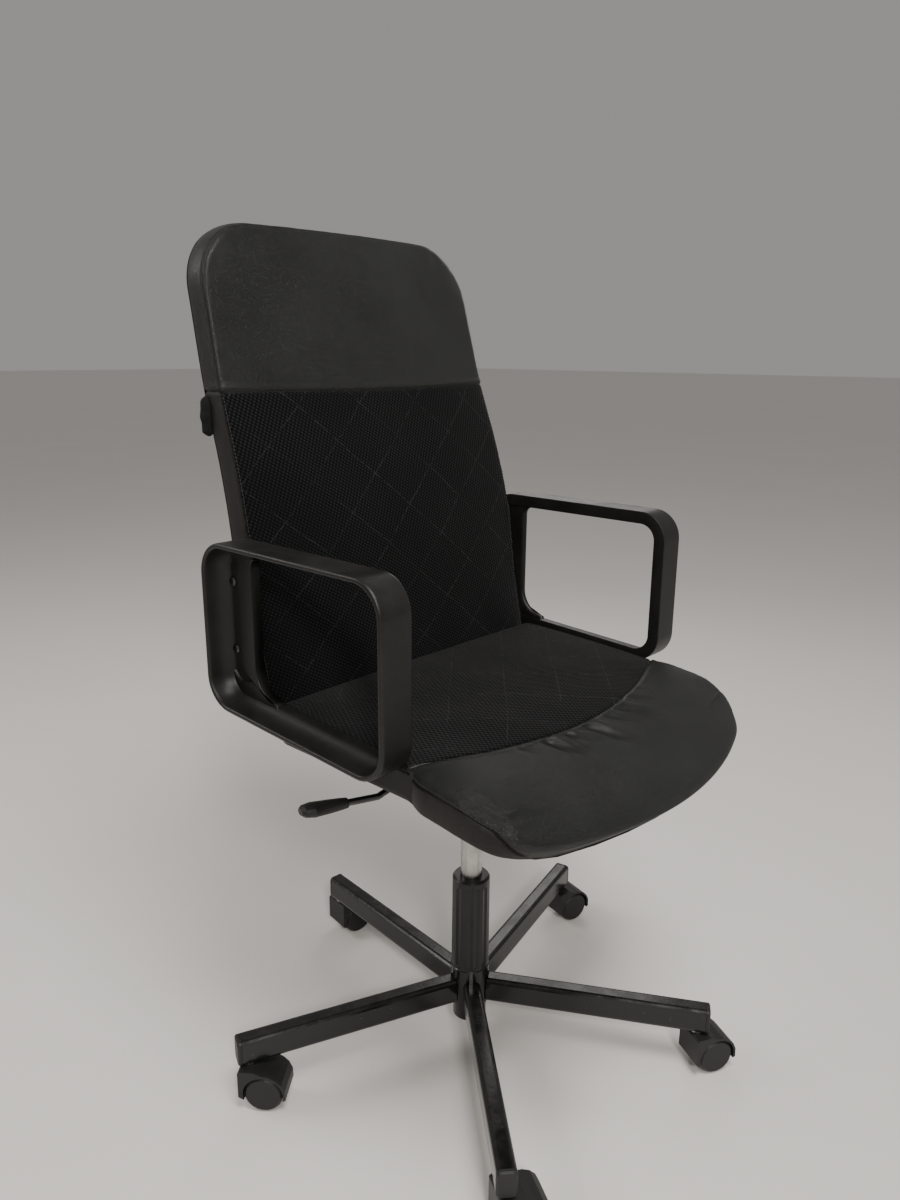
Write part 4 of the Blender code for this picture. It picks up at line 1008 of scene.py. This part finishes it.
def dress_back(obj):
    """Sink the seams, gather the cover beside them and crumple the top left corner."""
    co, no = coords(obj), coords(obj, "normal")
    cross, rim, along = read_attributes(obj, "cross", "rim", "along")
    move = -0.0018 * bell(cross, 0.0, SEAM_HALF)
    move += 0.0008 * bell(cross, 0.0048, 0.0032)
    move -= 0.0016 * bell(rim, 0.0, 0.0015)
    low = ramp(co[:, 2], 0.74, -0.04)
    high = ramp(co[:, 2], 0.93, 0.05)
    gather = wobble(along, 80.0, 2.9) + 0.5 * wobble(along, 190.0, 6.4)
    move += gather * np.exp(-np.abs(rim) / 0.009) * (0.0005 + 0.0010 * low)
    corner = np.exp(-(((co[:, 0] - 0.165) / 0.045) ** 2 + ((co[:, 2] - 1.020) / 0.040) ** 2))
    move += 0.0018 * wobble(along, 42.0, 5.5) * corner * np.exp(-np.abs(rim) / 0.030)
    move += 0.0010 * ramp(rim, 0.004, 0.01) * noise_at(co, 14.0)
    move *= np.where(rim < -0.05, 0.0, 1.0)
    co = co + no * move[:, None]
    beside = (co[:, 2] < 0.735) & (np.abs(co[:, 0]) > BACK_HALF)
    co[beside, 0] = np.sign(co[beside, 0]) * BACK_HALF
    write_attributes(obj, wear=0.04 * high)
    set_coords(obj, co + TO_FRAME)


def build_rear_cover():
    """Fabric panel over the rear of the back, turned in and gathered along its edge."""
    side, foot, top_line = back_lines()
    rows, columns = 110, 90
    grid = coons(foot, top_line, side, np.linspace(0, 1, rows), columns)
    flat, loop, outward, nearest, distance = edge_of(grid)
    border = perimeter(rows, columns)
    plan = flat - outward[nearest] * 0.0012
    run = run_lengths(loop)[nearest]
    inner_y = stations(BACK_FACE, plan[:, 1]) + BACK_DEPTH + 0.0003
    thickness = (COVER_THICKNESS - 0.0004) * np.sqrt(1 - np.exp(-distance / 0.0030))
    gather = wobble(run, 70.0, 3.3) * np.exp(-distance / 0.014) * np.clip(distance / 0.003, 0, 1)
    sag = np.array([noise.noise(Vector((x * 7.0, z * 4.0, 2.2))) for x, z in plan])
    hem = bell(distance, 0.0120, 0.0011)
    thickness += 0.0005 * gather + 0.0009 * sag * np.clip(distance / 0.04, 0, 1) - 0.0008 * hem
    inner = np.column_stack([plan[:, 0], inner_y, plan[:, 1]])
    outer = np.column_stack([plan[:, 0], inner_y + thickness, plan[:, 1]])
    verts = np.concatenate([inner, outer]) + TO_FRAME
    faces = []
    for quad in grid_faces(rows, columns):
        faces.append(quad)
        faces.append(tuple(rows * columns + v for v in reversed(quad)))
    for a, b in zip(border, np.roll(border, -1)):
        faces.append((b, a, rows * columns + a, rows * columns + b))
    obj = make_object("rear_cover", verts, faces, [COVER])
    face_outward(obj)
    hem_at = plan[border] - outward * 0.0112
    path = np.column_stack([hem_at[:, 0] + AXIS.x,
                            stations(BACK_FACE, hem_at[:, 1]) + BACK_DEPTH + 0.005 + AXIS.y,
                            hem_at[:, 1]])
    return obj, path


def build_side_tab():
    """Small folded fabric tab sewn to the rear edge of the back, on the right-hand side."""
    rows, sides = 26, 20
    height, width, depth = 0.046, 0.0100, 0.0062
    verts = []
    for r in range(rows):
        t = r / (rows - 1)
        z = TAB_AT[2] + (t - 0.5) * height
        pinch = 0.55 + 0.45 * math.sin(math.pi * min(max(t, 0.02), 0.98)) ** 0.4
        end = min(1.0, 8.0 * min(t, 1 - t) + 0.25)
        for k in range(sides):
            a = 2 * math.pi * k / sides
            fold = 1.0 + 0.22 * noise.noise(Vector((math.cos(a) * 1.3, math.sin(a) * 1.3, t * 5.0)))
            verts.append(at(TAB_AT[0] + width * pinch * fold * math.cos(a) * end,
                            TAB_AT[1] + depth * pinch * fold * math.sin(a) * end, z))
    faces = capped_rings(rows, sides)
    obj = make_object("side_tab", verts, faces, [COVER])
    subdivide(obj, 1)
    return obj


# ---- armrests
def arm_band(side):
    """The bent strap of one armrest: a section carried round the rounded loop."""
    points, inward = rounded_loop(ARM_CORNERS, ARM_CORNER, 15)
    verts = []
    for point, turn in zip(points, inward):
        for x, thickness in ARM_SECTION:
            spot = point + turn * thickness
            verts.append(at(side * x, spot[0], spot[1]))
    return verts, ring_faces(len(points), len(ARM_SECTION), closed=True)


def web_outline():
    """Plate along the rear bar in (y, z): rear, top, front with its forward sweep, and foot."""
    (rear, foot_z), (_, top_z) = ARM_CORNERS[:2]
    rear, top, bottom = rear - WEB_INSET, top_z - WEB_INSET, foot_z + WEB_INSET
    sweep, base, fillet = 0.036, foot_z + 0.0150, 0.012
    quarter = [math.radians(90.0 * k / 12) for k in range(13)]
    front = [(WEB_FRONT - fillet * (1 - math.sin(t)), top - 0.0135 - fillet * (1 - math.cos(t)))
             for t in quarter]
    front += [(WEB_FRONT - sweep * (1 - math.cos(t)), base + sweep * (1 - math.sin(t)))
              for t in quarter]
    rear_line = [(rear, bottom + 0.024), (rear, top - 0.024), (rear - 0.007, top - 0.009),
                 (rear - 0.024, top)]
    foot = [front[-1], (WEB_FRONT - sweep - 0.006, bottom), (rear - 0.024, bottom),
            (rear - 0.007, bottom + 0.007), rear_line[0]]
    return rear_line, [rear_line[-1], front[0]], front, foot


def channel_outline():
    """Screw channel in the plate, in the same four runs; its foot sweeps forward too."""
    low, high = CHANNEL
    bottom, top = ARM_CORNERS[0][1] + 0.0210, ARM_CORNERS[1][1] - 0.0215
    turns = [math.radians(70.0 * k / 8) for k in range(9)]
    front = [(low + 0.003, top), (low, top - 0.003)]
    bend = bottom + 0.034

    def sweep(start, radius):
        return [(start - radius * (1 - math.cos(t)), bend - radius * math.sin(t)) for t in turns]

    front += sweep(low, 0.026)
    rear = sweep(high, 0.030)
    rear_line = [rear[0], (high, top - 0.003), (high - 0.003, top)]
    return rear_line, [rear_line[-1], front[0]], front, [front[-1]] + rear[::-1]


def arm_web(side):
    """Plate of one armrest with its recessed channel, as rings from the back to the floor."""
    counts = (30, 12, 52, 30)
    edge, slot = (np.vstack([resample(run, n + 1)[:-1] for run, n in zip(outline(), counts)])
                  for outline in (web_outline, channel_outline))
    edge_out, slot_out = loop_normals(edge), loop_normals(slot)
    floor = WEB_OUTER - CHANNEL_DEPTH
    rings = ((edge, 0.0, WEB_INNER), (edge, 0.0, WEB_OUTER - 0.0016),
             (edge, 0.0004, WEB_OUTER - 0.0005), (edge, 0.0014, WEB_OUTER),
             (slot, -0.0008, WEB_OUTER), (slot, -0.0001, WEB_OUTER - 0.0006),
             (slot, 0.0004, floor + 0.0008), (slot, 0.0012, floor))
    verts = []
    for loop, inset, x in rings:
        outward = edge_out if loop is edge else slot_out
        verts.extend(at(side * x, y, z) for y, z in loop - outward * inset)
    return verts, capped_rings(len(rings), len(edge))


def build_arm(side, name):
    verts, faces = arm_band(side)
    web_verts, web_faces = arm_web(side)
    faces.extend(tuple(len(verts) + v for v in face) for face in web_faces)
    obj = make_object(f"arm_{name}", list(verts) + web_verts, faces, [ARM_PLASTIC])
    face_outward(obj)
    even_shading(obj)
    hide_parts(f"armrest_{name}")
    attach(obj, "seat")
    return obj


# ---- hard parts
def paint_nodes():
    """Finish of every CAD node that is shown as it is."""
    finishes = ((PAINT, "hub leg mechanism seat_bracket"), (SLEEVE_PLASTIC, "column_sleeve"),
                (MATT_PLASTIC, "leg_cap lever_grip tension_knob caster_hood wheel"),
                (STEEL, "piston_rod gas_cylinder release_button caster_stem caster_axle"),
                (DARK_STEEL, "torsion lever_rod back_bolt"), (UNDERLAY, "seat_board"),
                (PLY, "back_board"), (COVER, "back_cover"), (ARM_PLASTIC, "armrest"),
                (BOXING_PAINTED_BOUNCE, "seat_cushion back_cushion"))
    finish_of = {start: finish for finish, starts in finishes for start in starts.split()}
    for name, obj in NODES.items():
        start = max((start for start in finish_of if name.startswith(start)), key=len)
        obj.data.materials.clear()
        obj.data.materials.append(finish_of[start])


def shading_group():
    """Modifier nodes: smooth shading, but for edges that turn more than the sharp angle."""
    group = bpy.data.node_groups.new("shading", "GeometryNodeTree")
    for direction in ("INPUT", "OUTPUT"):
        group.interface.new_socket("Geometry", in_out=direction, socket_type="NodeSocketGeometry")
    chain = [group.nodes.new(kind) for kind in (
        "NodeGroupInput", "GeometryNodeRemoveAttribute", "GeometryNodeSetShadeSmooth",
        "GeometryNodeSetShadeSmooth", "GeometryNodeSetShadeSmooth", "NodeGroupOutput")]
    for before, after in zip(chain, chain[1:]):
        group.links.new(before.outputs[0], after.inputs[0])
    chain[1].inputs["Name"].default_value = "custom_normal"
    chain[3].domain = chain[4].domain = "EDGE"
    chain[4].inputs["Shade Smooth"].default_value = False
    bend = group.nodes.new("GeometryNodeInputMeshEdgeAngle")
    steep = group.nodes.new("FunctionNodeCompare")
    steep.operation = "GREATER_THAN"
    steep.inputs[1].default_value = SHARP_ANGLE
    group.links.new(bend.outputs["Unsigned Angle"], steep.inputs[0])
    group.links.new(steep.outputs[0], chain[4].inputs["Selection"])
    return group


def soften_nodes():
    """Smooth shading and small edge radii on the CAD nodes that are shown."""
    group = shading_group()
    radii = {"leg_cap": 0.0012, "caster_hood": 0.0012, "wheel": 0.0009, "tension_knob": 0.0008,
             "mechanism_housing": 0.0008, "seat_bracket": 0.0006, "column_sleeve": 0.0008,
             "hub": 0.0008, "lever_grip": 0.0008, "back_bolt": 0.0004}
    for name, obj in NODES.items():
        shade = obj.modifiers.new("shading", "NODES")
        shade.node_group = group
        for start, radius in radii.items():
            if name.startswith(start):
                bevel = obj.modifiers.new("edge_radius", "BEVEL")
                bevel.width = radius
                bevel.segments = 2
                bevel.angle_limit = SHARP_ANGLE
                bevel.harden_normals = True


# ---- stage
def build_stage():
    reach, level = 40.0, -0.0004
    floor = make_object("floor", [(-reach, -reach, level), (reach, -reach, level),
                                  (reach, reach, level), (-reach, reach, level)],
                        [(0, 1, 2, 3)], [], smooth=False)
    mat = Shader("floor_paint", (0.78, 0.76, 0.73), 0.6)
    mat.set_tone(mat.noise(1.6, 3.0), (0.80, 0.78, 0.75), (0.75, 0.73, 0.70))
    floor.data.materials.append(mat.made)
    world = bpy.data.worlds.new("studio")
    world.use_nodes = True
    world.node_tree.nodes["Background"].inputs["Color"].default_value = (0.86, 0.84, 0.81, 1.0)
    world.node_tree.nodes["Background"].inputs["Strength"].default_value = 0.36
    bpy.context.scene.world = world
    for name, place, target, size, power in (
            ("key", (-0.5, -1.1, 2.9), (0.0, 0.0, 0.5), 1.0, 58.0),
            ("edge", (-1.7, -2.1, 2.2), (0.0, 0.1, 0.8), 0.45, 46.0),
            ("sheen", (1.6, 1.0, 1.5), (-0.1, -0.2, 0.5), 0.8, 5.0),
            ("rim", (-1.5, 2.1, 2.3), (0.0, 0.0, 0.6), 1.1, 26.0)):
        light = bpy.data.lights.new(name, "AREA")
        light.size = size
        light.energy = power
        light.color = (1.0, 0.965, 0.92)
        lamp = bpy.data.objects.new(name, light)
        lamp.location = place
        lamp.rotation_euler = (Vector(target) - Vector(place)).to_track_quat("-Z", "Y").to_euler()
        COLLECTION.objects.link(lamp)


def build_camera():
    yaw, pitch, roll = (math.radians(v) for v in (CAMERA_YAW, CAMERA_PITCH, CAMERA_ROLL))
    ahead = Vector((math.sin(yaw) * math.cos(pitch), math.cos(yaw) * math.cos(pitch),
                    -math.sin(pitch)))
    level = Vector((math.cos(yaw), -math.sin(yaw), 0.0))
    up = level.cross(ahead)
    right = level * math.cos(roll) + up * math.sin(roll)
    data = bpy.data.cameras.new("camera")
    data.lens = CAMERA_LENS
    data.sensor_width = 36.0
    camera = bpy.data.objects.new("camera", data)
    turn = Matrix((right, right.cross(ahead), -ahead)).transposed()
    camera.matrix_world = Matrix.Translation(CAMERA_AT + AXIS) @ turn.to_4x4()
    COLLECTION.objects.link(camera)
    bpy.context.scene.camera = camera


# ---- put together
build_camera()
build_stage()
paint_nodes()
soften_nodes()

seat, seat_edge, wrapped = build_seat()
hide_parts("seat_cushion")
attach(seat, "seat")
seat_edge = seat_edge + TO_FRAME
for side, name in ((1, "left"), (-1, "right")):
    shown = (side * (seat_edge[:, 0] - AXIS.x) > 0.15) & (wrapped < 0.9)
    shown &= seat_edge[:, 1] - AXIS.y < -0.120
    run = seat_edge[shown]
    stitches(f"seat_stitches_{name}", seat, run[np.argsort(-run[:, 1])] - (0, 0, 0.0012))

back, back_rim = build_back()
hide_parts("back_cushion")
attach(back, "seat")
back_rim = back_rim + TO_FRAME
stitches("back_stitches", back, back_rim[back_rim[:, 2] > BACK_BOTTOM + 0.01])

rear, hem = build_rear_cover()
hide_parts("back_cover")
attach(rear, "seat")
stitches("rear_stitches", rear, hem, 0.0050)
tab = build_side_tab()
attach(tab, "seat")

build_arm(1, "left")
build_arm(-1, "right")
